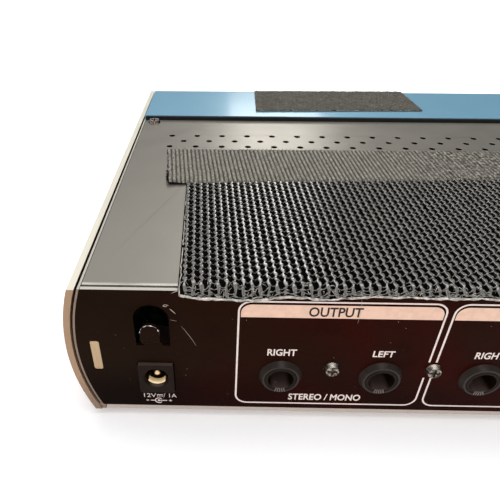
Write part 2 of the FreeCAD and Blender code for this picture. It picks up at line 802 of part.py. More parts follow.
def jack_contact(index):
    """The spring that touches the plug's tip, standing in the well above the bore."""
    x, z = socket_x(index), below_top("jack_drop")
    leaf = block(
        f"contact_leaf_{index}", (f"{x} - 1.2", from_rear("12"), f"{z} + 3.6"), (2.4, 10.0, 0.5)
    )
    tail = block(
        f"contact_tail_{index}", (f"{x} - 1.2", from_rear("21.5"), f"{z} + 3.6"), (2.4, 0.5, 2.0)
    )
    return join(f"jack_contact_{index}", [leaf, tail])


def power_inlet():
    """Barrel inlet: a square case, a little proud of the panel, with a blind round bore."""
    z = below_top("inlet_drop + inlet_tall")
    housing = block(
        "inlet_housing", (from_left("inlet_left"), from_rear("-0.9"), z), (
            "inlet_width", 14.5, "inlet_tall"
        )
    )
    bore = rod("inlet_bore", (INLET_X, from_rear("-2"), INLET_Z), 3.05, 12.0)
    flare = taper("inlet_flare", (INLET_X, from_rear("-0.91"), INLET_Z), 3.4, 3.05, 0.4)
    return cut("power_inlet", rounded("inlet_case", housing, 0.4), [bore, flare])


INLET_X = from_left("(inlet_left + inlet_width / 2)")
INLET_Z = below_top("inlet_drop + inlet_tall / 2 - 0.4")


def inlet_contacts():
    """Round-nosed centre pin and the curved sleeve spring along the bottom of the bore."""
    pin = rod("inlet_pin_stem", (INLET_X, from_rear("1.6"), INLET_Z), 1.05, 8.4)
    tip = doc.addObject("Part::Sphere", "inlet_pin_tip")
    bind(tip, Radius=1.05)
    place(tip, (INLET_X, from_rear("1.6"), INLET_Z))
    outer = rod("inlet_sleeve_outer", (INLET_X, from_rear("0.8"), INLET_Z), 3.0, 8.6)
    inner = rod("inlet_sleeve_inner", (INLET_X, from_rear("0"), INLET_Z), 2.65, 11.0)
    keep = block(
        "inlet_sleeve_keep", (f"{INLET_X} - 2.4", from_rear("0"), f"{INLET_Z} - 4"), (4.8, 11.0, 2.6)
    )
    sleeve = overlap("inlet_sleeve", cut("inlet_sleeve_ring", outer, [inner]), keep)
    return group("inlet_contacts", [join("inlet_pin", [pin, tip]), sleeve])


def control_socket():
    """Five-pin round socket: a moulded nose with the plug's ring groove, key and pin holes."""
    x, z = from_left(DIN_LEFT), below_top("jack_drop")
    nose = rod("din_nose", (x, from_rear("-0.6"), z), "din_radius", 2.0)
    housing = block(
        "din_housing", (f"{x} - 9", from_rear("panel_thick + 0.1"), BOARD_TOP), (18.0, 12.0, 16.2)
    )
    outer = rod("din_groove_outer", (x, from_rear("-1"), z), 6.75, 8.0)
    inner = rod("din_groove_inner", (x, from_rear("-2"), z), 5.7, 12.0)
    tools = [cut("din_groove", outer, [inner])]
    tools.append(block("din_key", (f"{x} - 1.1", from_rear("-1"), f"{z} - 6.2"), (2.2, 7.0, 1.6)))
    for index in range(5):
        turn = math.radians(45 * index)
        hole = (
            f"{x} + {3.75 * math.cos(turn):.4f}",
            from_rear("-1"),
            f"{z} + {3.75 * math.sin(turn) - 0.4:.4f}",
        )
        tools.append(rod(f"din_pin_hole_{index}", hole, 0.85, 8.0))
    return cut("control_socket", join("din_blank", [nose, housing]), tools)


def usb_socket():
    """Square data socket: a folded metal shell, open at the rear, round a plastic tongue."""
    x, z = from_left(USB_LEFT), below_top(USB_DROP)
    shell = block("usb_shell", (x, from_rear("-0.3"), z), (USB_WIDTH, 16.0, USB_TALL))
    mouth = block("usb_mouth", (f"{x} + 1.75", from_rear("-1"), f"{z} + 1.5"), (8.5, 12.0, 7.8))
    return cut("usb_socket", shell, [mouth])


def usb_tongue():
    x, z = from_left(USB_LEFT), below_top(USB_DROP)
    return block("usb_tongue", (f"{x} + 3.15", from_rear("0.6"), f"{z} + 3.8"), (5.7, 10.4, 3.2))


# ---------------------------------------------------------------- boards and what they carry


STANDOFFS = [(x, y) for x in (-88.0, 0.0, 88.0) for y in (31.0, 92.0)]
BOARD_TOP = "board_height + board_thick"


def main_board():
    board = block(
        "board_blank", ("-96", from_rear("2.2"), "board_height"), (192.0, 122.0, "board_thick")
    )
    holes = [
        rod(f"board_hole_{index}", (x, from_rear(y), "board_height - 1"), 1.3, 4.0, "Z")
        for index, (x, y) in enumerate(STANDOFFS)
    ]
    return cut("main_board", board, holes)


def standoff(index, x, y):
    """A threaded brass spacer swaged into the base pan."""
    body = rod(
        f"standoff_body_{index}", (x, from_rear(y), BASE_TOP), 2.6, f"board_height - ({BASE_TOP})", "Z"
    )
    spigot = rod(f"standoff_spigot_{index}", (x, from_rear(y), "foot_height"), 1.9, "wall_thick", "Z")
    bore = rod(f"standoff_bore_{index}", (x, from_rear(y), "foot_height + 1"), 1.05, 8.0, "Z")
    return cut(f"standoff_{index}", join(f"standoff_blank_{index}", [body, spigot]), [bore])


def board_screw(index, x, y):
    return top_screw(f"board_screw_{index}", (x, from_rear(y), BOARD_TOP), 2.4, 1.0, 3.6)


def board_chips():
    """Processor, converter and interface packages on the main board."""
    spots = [
        (-20, 66, 20, 20, 1.6), (18, 62, 14, 14, 1.4), (-52, 44, 7, 10, 1.2), (-36, 44, 7, 10, 1.2)
    ]
    spots += [(46, 44, 7, 10, 1.2), (62, 44, 7, 10, 1.2), (30, 92, 18, 8, 1.2), (-52, 80, 10, 10, 1.2)]
    return group(
        "board_chips",
        [
            block(f"chip_{index}", (x, from_rear(y), BOARD_TOP), (wide, deep, tall))
            for index, (x, y, wide, deep, tall) in enumerate(spots)
        ],
    )


def capacitors():
    """Can capacitors beside the power inlet and the output stage."""
    spots = [
        (-84, 44, 5.0, 13),
        (-70, 44, 4.0, 11),
        (-84, 60, 4.0, 11),
        (-70, 58, 3.15, 9),
        (78, 50, 4.0, 11),
    ]
    cans = []
    for index, (x, y, radius, tall) in enumerate(spots):
        profile = [
            ("0", "0"),
            ("0", f"{radius}"),
            (f"{tall} - 0.6", f"{radius}"),
            (f"{tall}", f"{radius} - 0.6"),
            (f"{tall}", "0"),
        ]
        cans.append(turned(f"can_{index}", profile, (f"{x}", from_rear(y), BOARD_TOP), "Z"))
    return group("capacitors", cans)


def heat_sink():
    """Finned regulator heat sink standing on the main board."""
    base = block("sink_base", ("-92", from_rear("72"), BOARD_TOP), (26.0, 3.0, 18.0))
    fins = [
        block(
            f"sink_fin_{index}", (f"-92 + {index} * 4", from_rear("72"), BOARD_TOP), (1.4, 12.0, 18.0)
        )
        for index in range(7)
    ]
    return join("heat_sink", [base, *fins])


def front_board():
    return block("front_board", ("-96", from_rear("front_board"), "7"), (192.0, "board_thick", 35.0))


def ribbon_headers():
    """The two box headers that the ribbon plugs into: one on each board."""
    low = block("header_low", ("-16", from_rear("112"), BOARD_TOP), (32.0, 6.0, 6.0))
    high = block("header_high", ("-16", from_rear("front_board - 6"), "30"), (32.0, 6.0, 6.0))
    return group("ribbon_headers", [low, high])


def ribbon_cable():
    """Flat ribbon in one bend, up from the main board's header and over to the front one."""
    low, high = f"{BOARD_TOP} + 6", "33"
    mid = from_rear("115")
    ends = from_rear("front_board - 6")
    bend, thick = "7", "1"
    side = [
        (f"{mid} - {thick} / 2", low),
        (f"{mid} - {thick} / 2", f"{high} + {thick} / 2 - {bend}"),
        (f"{mid} - {thick} / 2 + {bend}", f"{high} + {thick} / 2"),
        (ends, f"{high} + {thick} / 2"),
        (ends, f"{high} - {thick} / 2"),
        (f"{mid} - {thick} / 2 + {bend}", f"{high} - {thick} / 2"),
        (f"{mid} + {thick} / 2", f"{high} + {thick} / 2 - {bend}"),
        (f"{mid} + {thick} / 2", low),
    ]
    centre = (f"{mid} - {thick} / 2 + {bend}", f"{high} + {thick} / 2 - {bend}")
    arcs = {1: centre, 5: centre}
    return padded_outline("ribbon_cable", "YZ_Plane", side, "25.4", ("-12.7", "0", "0"), arcs)


# ---------------------------------------------------------------- front controls


POWER_X = 86.0
POWER_RADIUS = 4.5
KNOBS = [("gain", 66.0, False), ("mix", 46.0, False), ("select", -44.0, True), ("level", -88.0, False)]
BUTTONS = [
    ("soft_key_left", 22.0, 11.5, 13.0, 5.0),
    ("soft_key_middle", 2.0, 11.5, 13.0, 5.0),
    ("soft_key_right", -18.0, 11.5, 13.0, 5.0),
    ("bypass_button", -68.0, 31.5, 9.0, 7.0),
    ("tap_button", -68.0, 16.0, 9.0, 7.0),
]
DISPLAY_X, DISPLAY_Z, DISPLAY_WIDE, DISPLAY_TALL = 2.0, 29.0, 58.0, 20.0
LIGHTS = [(POWER_X, 36.0), (-68.0, 38.5), (-68.0, 23.5)]
BOARD_FRONT = "front_board + board_thick"


def knob(name, x, dial):
    """A turned knob with a skirt, a crowned face and a blind bore for its shaft."""
    radius = "dial_radius" if dial else "knob_radius"
    length = "dial_length" if dial else "knob_length"
    profile = [
        ("0", "shaft_radius + running_gap"),
        ("0", radius),
        ("2", radius),
        ("2.6", f"{radius} - 0.7"),
        (f"{length} - 0.8", f"{radius} - 1.2"),
        (length, f"{radius} - 2"),
        (length, "0"),
        (f"{length} - 3", "0"),
        (f"{length} - 3", "shaft_radius + running_gap"),
    ]
    return turned(name + "_knob", profile, (x, from_rear("body_depth + knob_gap"), "control_height"))


def shaft(name, x, dial):
    """The control's steel shaft, flatted where the knob grips it."""
    length = "dial_length" if dial else "knob_length"
    start = from_rear(f"{BOARD_FRONT} + 1")
    run = f"body_depth + knob_gap + {length} - 3.4 - ({BOARD_FRONT} + 1)"
    stem = rod(name + "_stem", (x, start, "control_height"), "shaft_radius", run)
    flat_at = (f"{x} - 4", from_rear("body_depth + 3"), "control_height + shaft_radius * 0.6")
    flat = block(name + "_flat", flat_at, (8.0, 20.0, 4.0))
    return cut(name + "_shaft", stem, [flat])


def control_body(name, x):
    """A rotary control on the front board, with a threaded bush round the shaft."""
    case = block(
        name + "_case",
        (f"{x} - 5.5", from_rear(BOARD_FRONT), "control_height - 5.5"),
        (11.0, 6.5, 11.0),
    )
    bush = rod(name + "_bush", (x, from_rear(BOARD_FRONT), "control_height"), 3.35, 12.0)
    bore = rod(
        name + "_bore",
        (x, from_rear(f"{BOARD_FRONT} + 0.9"), "control_height"),
        "shaft_radius + running_gap",
        14.0,
    )
    return cut(name + "_body", join(name + "_blank", [case, bush]), [bore])


def button(name, x, z, wide, tall):
    """A cap that slides in the front shell, with a flange behind it and a plunger."""
    reach_back = 4.6
    at = (f"{x} - {wide / 2}", from_rear("body_depth - wall_thick - 2"), f"{z} - {tall / 2}")
    cap = rounded(
        name + "_cap",
        block(name + "_cap_block", at, (wide, "wall_thick + 2 + button_proud", tall)),
        1.2,
    )
    at = (
        f"{x} - {wide / 2} - 0.8", from_rear("body_depth - wall_thick - 1.2"), f"{z} - {tall / 2} - 0.8"
    )
    flange = block(name + "_flange", at, (wide + 1.6, 1.1, tall + 1.6))
    at = (x, from_rear(f"body_depth - wall_thick - 2 - {reach_back}"), z)
    plunger = rod(name + "_plunger", at, 1.4, reach_back + 0.2)
    return join(name, [cap, flange, plunger])


def power_button():
    """Round power cap with the same flange and plunger."""
    cap = rod(
        "power_cap",
        (POWER_X, from_rear("body_depth - wall_thick - 2"), "control_height"),
        POWER_RADIUS,
        "wall_thick + 2 + button_proud",
    )
    flange = rod(
        "power_flange",
        (POWER_X, from_rear("body_depth - wall_thick - 1.2"), "control_height"),
        POWER_RADIUS + 0.8,
        1.1,
    )
    plunger = rod(
        "power_plunger",
        (POWER_X, from_rear("body_depth - wall_thick - 6.6"), "control_height"),
        1.4,
        4.8,
    )
    return join("power_button", [cap, flange, plunger])


def switch_bodies():
    """One push switch on the front board behind each button."""
    spots = [(x, z) for _, x, z, _, _ in BUTTONS] + [(POWER_X, "control_height")]
    depth = f"body_depth - wall_thick - 6.6 - 1.3 - ({BOARD_FRONT})"
    return group(
        "switch_bodies",
        [
            block(
                f"switch_{index}", (f"{x} - 3", from_rear(BOARD_FRONT), f"{z} - 3"), (6.0, depth, 6.0)
            )
            for index, (x, z) in enumerate(spots)
        ],
    )


def display_module():
    at = (f"{DISPLAY_X} - 31", from_rear(BOARD_FRONT), f"{DISPLAY_Z} - 11")
    return block("display_module", at, (62.0, 9.0, 22.0))


def display_lens():
    at = (
        f"{DISPLAY_X} - {DISPLAY_WIDE / 2}",
        from_rear("body_depth - wall_thick"),
        f"{DISPLAY_Z} - {DISPLAY_TALL / 2}",
    )
    window = rounded(
        "lens_window", block("lens_block", at, (DISPLAY_WIDE, "wall_thick - 0.1", DISPLAY_TALL)), 1.5
    )
    at = (f"{DISPLAY_X} - 31", from_rear("body_depth - wall_thick - 1"), f"{DISPLAY_Z} - 11.5")
    flange = block("lens_flange", at, (62.0, 0.95, 23.0))
    return join("display_lens", [window, flange])


def status_lights():
    """Light pipes from the front board to the panel's face."""
    return group(
        "status_lights",
        [
            rod(
                f"light_{index}",
                (x, from_rear(BOARD_FRONT), z),
                1.0,
                "body_depth + 0.3 - front_board - board_thick",
            )
            for index, (x, z) in enumerate(LIGHTS)
        ],
    )


# ---------------------------------------------------------------- fastening tape


def hook_tape_pad():
    """Wide hook tape on the rear of the plate, hand-cut, its rear edge drooping over the rim."""
    corners = [
        (from_left("22.6"), from_rear("-1.5")),
        ("plate_width / 2 - 21.5", from_rear("-1.5")),
        ("plate_width / 2 - 24.7", from_rear("58.6")),
        (from_left("20.9"), from_rear("50.8")),
    ]
    slab = padded_outline("hook_slab", "XY_Plane", corners, "hook_thick", ("0", "0", "plate_top"))
    droop = block(
        "hook_droop",
        (from_left("24"), from_rear("-1.5"), below_top("0.9")),
        ("plate_width - 48", 1.4, 1.2),
    )
    return join("hook_tape_pad", [slab, droop])


def loop_tape_strip():
    """Loop tape across the plate behind the hook tape, laid a little askew."""
    corners = [
        (from_left("15.2"), from_rear("51.2")),
        ("plate_width / 2 - 12.6", from_rear("59.8")),
        ("plate_width / 2 - 12", from_rear("79.0")),
        (from_left("12.3"), from_rear("77.6")),
    ]
    return padded_outline("loop_tape_strip", "XY_Plane", corners, "loop_thick", ("0", "0", "plate_top"))


def loop_tape_patch():
    """Short piece of the same loop tape on the front shell's top lip."""
    corners = [
        (from_left("45.4"), from_rear("115.2")),
        (from_left("114.7"), from_rear("117.1")),
        (from_left("113.0"), from_rear("142.4")),
        (from_left("45.9"), from_rear("141.4")),
    ]
    return padded_outline(
        "loop_tape_patch", "XY_Plane", corners, "loop_thick", ("0", "0", "plate_top + shell_rise")
    )


# ---------------------------------------------------------------- assembly


def build():
    """Every node of the object, in the order that it goes together."""
    nodes = [base_pan(), side_frame(), side_cheek()]
    nodes.append(mirrored("end_frame_right", nodes[1]))
    nodes.append(mirrored("cheek_right", nodes[2]))
    left = [cheek_screw(f"cheek_screw_{index}", along) for index, along in enumerate(CHEEK_SCREWS)]
    right = [mirrored(f"cheek_screw_far_{index}", screw) for index, screw in enumerate(left)]
    nodes.append(group("cheek_screws", left + right))
    nodes += [rear_panel(), top_plate(), front_shell(), cross_rail(), seam_gasket()]
    spots = [(f"{side} * (plate_width / 2 - 16)", y) for side in (-1, 1) for y in (16.0, 130.0)]
    feet = [rubber_foot(f"foot_{index}", x, y) for index, (x, y) in enumerate(spots)]
    nodes.append(group("rubber_feet", feet))
    screws = [
        top_screw(
            f"plate_screw_{side}",
            (f"{side} * (plate_width / 2 - 4.2)", from_rear("105.3"), "plate_top"),
            2.4,
            1.2,
            4.5,
        )
        for side in (-1, 1)
    ]
    nodes.append(group("plate_screws", screws))
    screws = [
        pan_screw(
            f"panel_screw_{index}",
            (panel_screw_x(index), from_rear("0"), below_top("screw_drop")),
            2.1,
            1.2,
            7.0,
        )
        for index in range(len(SOCKETS))
    ]
    nodes.append(group("panel_screws", screws))
    nodes.append(group("panel_bosses", [panel_boss(index) for index in range(len(SOCKETS))]))
    screws = [base_screw(f"base_screw_{index}", x, y) for index, (x, y) in enumerate(BASE_SCREW_SPOTS)]
    nodes.append(group("base_screws", screws))

    nodes += [audio_jack(index, name) for index, name in enumerate(SOCKETS)]
    nodes.append(group("jack_nuts", [jack_nut(index) for index in range(len(SOCKETS))]))
    nodes.append(group("jack_contacts", [jack_contact(index) for index in range(len(SOCKETS))]))
    nodes += [power_inlet(), inlet_contacts(), control_socket(), usb_socket(), usb_tongue()]

    nodes.append(main_board())
    standoffs = [standoff(index, x, y) for index, (x, y) in enumerate(STANDOFFS)]
    nodes.append(group("board_standoffs", standoffs))
    screws = [board_screw(index, x, y) for index, (x, y) in enumerate(STANDOFFS)]
    nodes.append(group("board_screws", screws))
    nodes += [board_chips(), capacitors(), heat_sink(), front_board(), ribbon_headers(), ribbon_cable()]

    nodes.append(group("control_bodies", [control_body(name, x) for name, x, _ in KNOBS]))
    nodes += [shaft(*control) for control in KNOBS]
    nodes += [knob(*control) for control in KNOBS]
    nodes += [button(*key) for key in BUTTONS]
    nodes += [power_button(), switch_bodies(), display_module(), display_lens(), status_lights()]
    nodes += [hook_tape_pad(), loop_tape_strip(), loop_tape_patch()]
    return nodes


def check(nodes):
    """Stops the build if any object failed or any node's shape isn't valid solids."""
    for obj in doc.Objects:
        if set(obj.State) & {"Invalid", "Error"}:
            raise RuntimeError(f"{obj.Label} failed: {obj.State}")
    for node in nodes:
        shape = node.Shape
        if shape.isNull() or not shape.isValid() or not shape.Solids:
            raise RuntimeError(f"{node.Label} has no valid solid")


def write(nodes):
    """One STEP file for each node, named by its label."""
    os.makedirs("parts", exist_ok=True)
    for old in os.listdir("parts"):
        os.remove(os.path.join("parts", old))
    for node in nodes:
        node.Shape.exportStep(os.path.join("parts", node.Label + ".step"))


nodes = build()
doc.recompute()
check(nodes)
write(nodes)
box = Part.makeCompound([node.Shape for node in nodes]).BoundBox
low = [round(value, 2) for value in (box.XMin, box.YMin, box.ZMin)]
high = [round(value, 2) for value in (box.XMax, box.YMax, box.ZMax)]
print(len(nodes), "nodes, from", low, "to", high)
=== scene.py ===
"""Looks of the rack effects unit: finishes, hook-and-loop tape, panel marks, studio and camera."""

import json
import math
import random

import bpy
from mathutils import Matrix, Vector, noise


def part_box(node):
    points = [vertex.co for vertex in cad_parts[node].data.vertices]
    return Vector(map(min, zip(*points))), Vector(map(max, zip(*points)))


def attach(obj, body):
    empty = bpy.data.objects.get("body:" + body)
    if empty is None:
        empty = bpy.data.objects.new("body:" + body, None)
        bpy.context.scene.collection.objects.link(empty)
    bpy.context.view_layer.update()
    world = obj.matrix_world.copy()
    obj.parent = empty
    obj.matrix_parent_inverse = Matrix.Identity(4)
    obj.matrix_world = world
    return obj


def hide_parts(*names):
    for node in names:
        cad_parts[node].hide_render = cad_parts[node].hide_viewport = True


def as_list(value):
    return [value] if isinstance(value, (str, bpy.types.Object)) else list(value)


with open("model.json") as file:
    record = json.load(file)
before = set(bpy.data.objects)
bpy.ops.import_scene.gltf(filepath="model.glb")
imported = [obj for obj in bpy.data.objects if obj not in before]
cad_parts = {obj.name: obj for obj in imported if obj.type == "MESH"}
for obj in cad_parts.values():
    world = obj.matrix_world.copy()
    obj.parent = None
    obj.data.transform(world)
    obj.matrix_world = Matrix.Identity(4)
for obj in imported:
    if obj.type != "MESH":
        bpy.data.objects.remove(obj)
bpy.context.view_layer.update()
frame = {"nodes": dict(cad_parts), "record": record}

MM = 0.001
X_AXIS = Vector((1, 0, 0))
Y_AXIS = Vector((0, 1, 0))
Z_AXIS = Vector((0, 0, 1))
FULL_TURN = 2 * math.pi

REAR_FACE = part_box("end_frame_left")[0].y
FRONT_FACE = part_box("front_shell")[1].y
PLATE_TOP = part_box("top_plate")[1].z
PLATE_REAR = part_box("top_plate")[0].y
PANEL_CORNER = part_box("rear_panel")[0]
CHEEK_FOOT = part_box("cheek_left")[0].z
FLANGE_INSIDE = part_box("end_frame_right")[1].x - 2.775 * MM
TONGUE_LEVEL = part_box("end_frame_left")[1].z - 21.5 * MM


def middle(node):
    """The centre of a CAD node's box."""
    low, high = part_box(node)
    return (low + high) / 2


INLET_LEVEL = middle("power_inlet").z + 0.4 * MM


def added(name, data):
    """A new object in the scene."""
    made = bpy.data.objects.new(name, data)
    bpy.context.scene.collection.objects.link(made)
    return made


# ---------------- materials


def scaled(colour, share):
    """A colour made lighter or darker."""
    return tuple(min(1.0, channel * share) for channel in colour[:3])


class Nodes:
    """Short calls that add nodes to a shader tree. The place is one of its texture coordinates."""

    def __init__(self, tree, coordinates):
        self.tree = tree
        self.place = self.new("TexCoord").outputs[coordinates]

    def new(self, kind):
        """A shader node, named without its prefix."""
        return self.tree.nodes.new("ShaderNode" + kind)

    def feed(self, socket, value):
        """Links a socket to an output, or gives it a plain value."""
        if isinstance(value, bpy.types.NodeSocket):
            self.tree.links.new(value, socket)
        elif socket.type == "RGBA":
            socket.default_value = (*value[:3], 1.0)
        else:
            socket.default_value = value

    def coordinate(self, axis, vector=None):
        """One coordinate of a vector, or of the place."""
        parts = self.new("SeparateXYZ")
        self.feed(parts.inputs[0], vector or self.place)
        return parts.outputs[axis]

    def band(self, value, low, high, start=0.0, end=1.0):
        """Turns low..high into start..end, and holds it there outside."""
        ranged = self.new("MapRange")
        ranged.interpolation_type = "SMOOTHSTEP"
        self.feed(ranged.inputs["Value"], value)
        for name, number in (("From Min", low), ("From Max", high), ("To Min", start), ("To Max", end)):
            ranged.inputs[name].default_value = number
        return ranged.outputs["Result"]

    def calc(self, operation, first, second=0.0):
        """One sum on two values."""
        maths = self.new("Math")
        maths.operation = operation
        self.feed(maths.inputs[0], first)
        self.feed(maths.inputs[1], second)
        return maths.outputs[0]

    def both(self, first, second):
        """The share where two shares meet."""
        return self.calc("MULTIPLY", first, second)


class Finish(Nodes):
    """A procedural material: a Principled shader, with short calls that add nodes in front of it."""

    def __init__(self, name, colour, roughness, metallic=0.0, specular=0.5, **inputs):
        self.material = bpy.data.materials.new(name)
        self.material.use_nodes = True
        super().__init__(self.material.node_tree, "Object")
        self.shader = self.tree.nodes["Principled BSDF"]
        self.start = self.colour = colour
        self.smooth = roughness
        self.normal = None
        self.set(Base_Color=colour, Roughness=roughness, Metallic=metallic, Specular_IOR_Level=specular)
        self.set(**inputs)

    def set(self, **inputs):
        """Inputs of the Principled shader, named with _ for each space."""
        for name, value in inputs.items():
            self.feed(self.shader.inputs[name.replace("_", " ")], value)

    def texture(self, kind, size, stretch=(1, 1, 1)):
        """A texture node whose features are about size across, drawn out along stretch."""
        mapping = self.new("Mapping")
        mapping.inputs["Scale"].default_value = [1 / (size * share) for share in stretch]
        self.feed(mapping.inputs["Vector"], self.place)
        texture = self.new(kind)
        texture.inputs["Scale"].default_value = 1.0
        self.feed(texture.inputs["Vector"], mapping.outputs["Vector"])
        return texture

    def spots(self, size, stretch=(1, 1, 1)):
        """Noise from 0 to 1."""
        texture = self.texture("TexNoise", size, stretch)
        texture.inputs["Detail"].default_value = 4.0
        return texture.outputs[0]

    def cells(self, size, feature="F1"):
        """Distance from the middles, or from the edges, of scattered cells."""
        texture = self.texture("TexVoronoi", size)
        texture.feature = feature
        return texture.outputs["Distance"]

    def stripes(self, pitch, axis):
        """A wave from 0 to 1 that repeats along one axis."""
        wave = self.new("TexWave")
        wave.bands_direction = axis
        wave.inputs["Scale"].default_value = math.pi / (10 * pitch)
        self.feed(wave.inputs["Vector"], self.place)
        return wave.outputs["Fac"]

    def marked(self, name):
        """A number stored with the mesh's points."""
        stored = self.new("Attribute")
        stored.attribute_name = name
        return stored.outputs["Fac"]

    def facing_up(self, low=0.3, high=0.9):
        """1 on surfaces that face up, 0 on the others."""
        return self.band(self.coordinate("Z", self.new("NewGeometry").outputs["Normal"]), low, high)

    def paint_over(self, share, colour):
        """Covers the colour so far with another, by share."""
        mix = self.new("Mix")
        mix.data_type = "RGBA"
        self.feed(mix.inputs["Factor"], share)
        self.feed(mix.inputs[6], self.colour)
        self.feed(mix.inputs[7], colour)
        self.colour = mix.outputs[2]
        self.set(Base_Color=self.colour)
        return self

    def mottle(self, amount, size, stretch=(1, 1, 1)):
        """Uneven colour, darker by amount in places."""
        share = self.band(self.spots(size, stretch), 0.3, 0.7, 0.0, amount)
        return self.paint_over(share, scaled(self.start, 0.35))

    def gloss(self, amount, size, stretch=(1, 1, 1)):
        """Uneven gloss, by amount either way."""
        low, high = max(0.02, self.smooth - amount), min(1.0, self.smooth + amount)
        self.set(Roughness=self.band(self.spots(size, stretch), 0.3, 0.7, low, high))
        return self

    def relief(self, height, depth):
        """Bump of a real depth, in metres, over the bumps so far."""
        bump = self.new("Bump")
        bump.inputs["Strength"].default_value = 1.0
        bump.inputs["Distance"].default_value = depth
        self.feed(bump.inputs["Height"], height)
        if self.normal:
            self.feed(bump.inputs["Normal"], self.normal)
        self.normal = bump.outputs["Normal"]
        self.set(Normal=self.normal)
        return self

    def grain(self, size, depth, stretch=(1, 1, 1)):
        """Fine relief from noise."""
        return self.relief(self.spots(size, stretch), depth)

    def dust(self, colour, size, amount, up_only=True):
        """Sparse pale specks, on all sides or only on what faces up."""
        specks = self.band(self.cells(size), 0.05, 0.12, amount, 0.0)
        thin = self.both(specks, self.band(self.spots(9 * size), 0.45, 0.62))
        return self.paint_over(self.both(thin, self.facing_up()) if up_only else thin, colour)


def painted(name, colour, roughness, metallic, **inputs):
    """Sprayed paint over sheet metal: faint orange peel, uneven gloss and a little dust."""
    finish = Finish(name, colour, roughness, metallic, **inputs)
    finish.mottle(0.06, 34 * MM).gloss(0.02, 9 * MM)
    finish.grain(0.35 * MM, 0.004 * MM).grain(2.4 * MM, 0.003 * MM)
    return finish.dust((0.7, 0.68, 0.63), 1.5 * MM, 0.3)


def brushed(name, colour, roughness, along, depth=0.004 * MM):
    """Metal with fine drawn lines along one axis."""
    finish = Finish(name, colour, roughness, 1.0)
    finish.mottle(0.16, 0.25 * MM, along).gloss(0.08, 0.5 * MM, along)
    return finish.grain(0.12 * MM, depth, along).mottle(0.1, 12 * MM)


def moulded(name, colour, roughness, depth=0.012 * MM, specular=0.5):
    """Moulded plastic or rubber: a fine spark texture, faint flow marks and a little dust."""
    finish = Finish(name, colour, roughness, 0.0, specular)
    finish.mottle(0.12, 8 * MM).gloss(0.08, 1.5 * MM)
    return finish.grain(0.22 * MM, depth).dust((0.5, 0.48, 0.44), 0.9 * MM, 0.3)


def plate_paint():
    """Warm grey satin paint of the top plate: faint wipe marks, a painted highlight along the rear edge and
    painted shade on the vent walls.
    """
    finish = painted("plate_paint", (0.285, 0.266, 0.229), 0.31, 0.6)
    wipes = finish.band(finish.spots(1.1 * MM, (70, 4, 1)), 0.62, 0.75, 0.0, 0.06)
    finish.paint_over(wipes, (0.45, 0.43, 0.39))
    away = finish.coordinate("Y")
    # Painted highlight: the plate is paler along its rear edge, where the edge catches the light.
    edge_highlight = finish.band(away, PLATE_REAR + 0.5 * MM, PLATE_REAR + 0.95 * MM, 1.0, 0.0)
    patchy = finish.band(finish.spots(3 * MM, (4, 1, 1)), 0.3, 0.55, 0.35, 1.0)
    finish.paint_over(finish.both(edge_highlight, patchy), (0.6, 0.58, 0.53))
    # Painted shade: the walls of the vent holes, away from the rear edge, are near black.
    shaded_walls = finish.calc("SUBTRACT", 1.0, finish.facing_up())
    vents = finish.band(away, PLATE_REAR + 3 * MM, PLATE_REAR + 4 * MM)
    return finish.paint_over(finish.both(shaded_walls, vents), (0.006, 0.005, 0.0045))


def panel_paint():
    """Near-black paint of the rear panel: olive by the inlet, a painted red reflection further along, a
    painted grey highlight on the up-facing fold.
    """
    finish = Finish("panel_paint", (0.0112, 0.0055, 0.0028), 0.3, 0.0, 0.02)
    finish.set(Specular_Tint=(1.0, 0.4, 0.25))
    left, foot = PANEL_CORNER.x, PANEL_CORNER.z
    low = finish.band(finish.coordinate("Z"), foot + 3.9 * MM, foot + 17.9 * MM, 0.85, 0.0)
    finish.paint_over(low, (0.0025, 0.0009, 0.0005))
    # Painted reflection: reddish clouds along the panel stand in for a warm red thing mirrored in it.
    reflection_clouds = finish.band(finish.spots(30 * MM), 0.36, 0.66, 0.3, 1.0)
    red_reflection_side = finish.band(finish.coordinate("X"), left + 10.37 * MM, left + 63.37 * MM)
    finish.paint_over(finish.both(reflection_clouds, red_reflection_side), (0.026, 0.0018, 0.0011))
    finish.paint_over(finish.band(finish.spots(12 * MM), 0.5, 0.72, 0.0, 0.45), (0.006, 0.0022, 0.0014))
    finish.gloss(0.07, 7 * MM).grain(0.3 * MM, 0.004 * MM)
    finish.dust((0.12, 0.06, 0.045), 1.6 * MM, 0.14, up_only=False)
    # Painted highlight: the up-facing fold at the panel's top is grey.
    fold_highlight = finish.band(finish.coordinate("Z"), PLATE_TOP - 3 * MM, PLATE_TOP - 2 * MM)
    return finish.paint_over(finish.both(fold_highlight, finish.facing_up(0.75, 0.95)), (0.5, 0.475, 0.42))


def shell_blue():
    """Satin metallic blue of the front shell, with a fine flake."""
    finish = painted("shell_blue", (0.18, 0.395, 0.54), 0.32, 0.12, Coat_Weight=0.8, Coat_Roughness=0.14)
    flake = finish.band(finish.cells(0.18 * MM), 0.1, 0.4, 0.12, 0.0)
    return finish.paint_over(flake, (0.6, 0.75, 0.86))


def cheek_metal():
    """Satin side cheeks: tan on their ends and sides, with painted shade towards their foot and a painted
    highlight where they face up.
    """
    finish = brushed("cheek_metal", (0.36, 0.228, 0.132), 0.4, (1, 30, 1))
    finish.set(Metallic=0.45)
    # Painted shade: darker towards the foot.
    low = finish.band(finish.coordinate("Z"), CHEEK_FOOT + 1.5 * MM, CHEEK_FOOT + 14.5 * MM, 0.5, 0.0)
    finish.paint_over(low, (0.15, 0.1, 0.07))
    # Painted highlight: paler where the cheeks face up.
    return finish.paint_over(finish.facing_up(0.15, 0.8), (0.8, 0.755, 0.64))


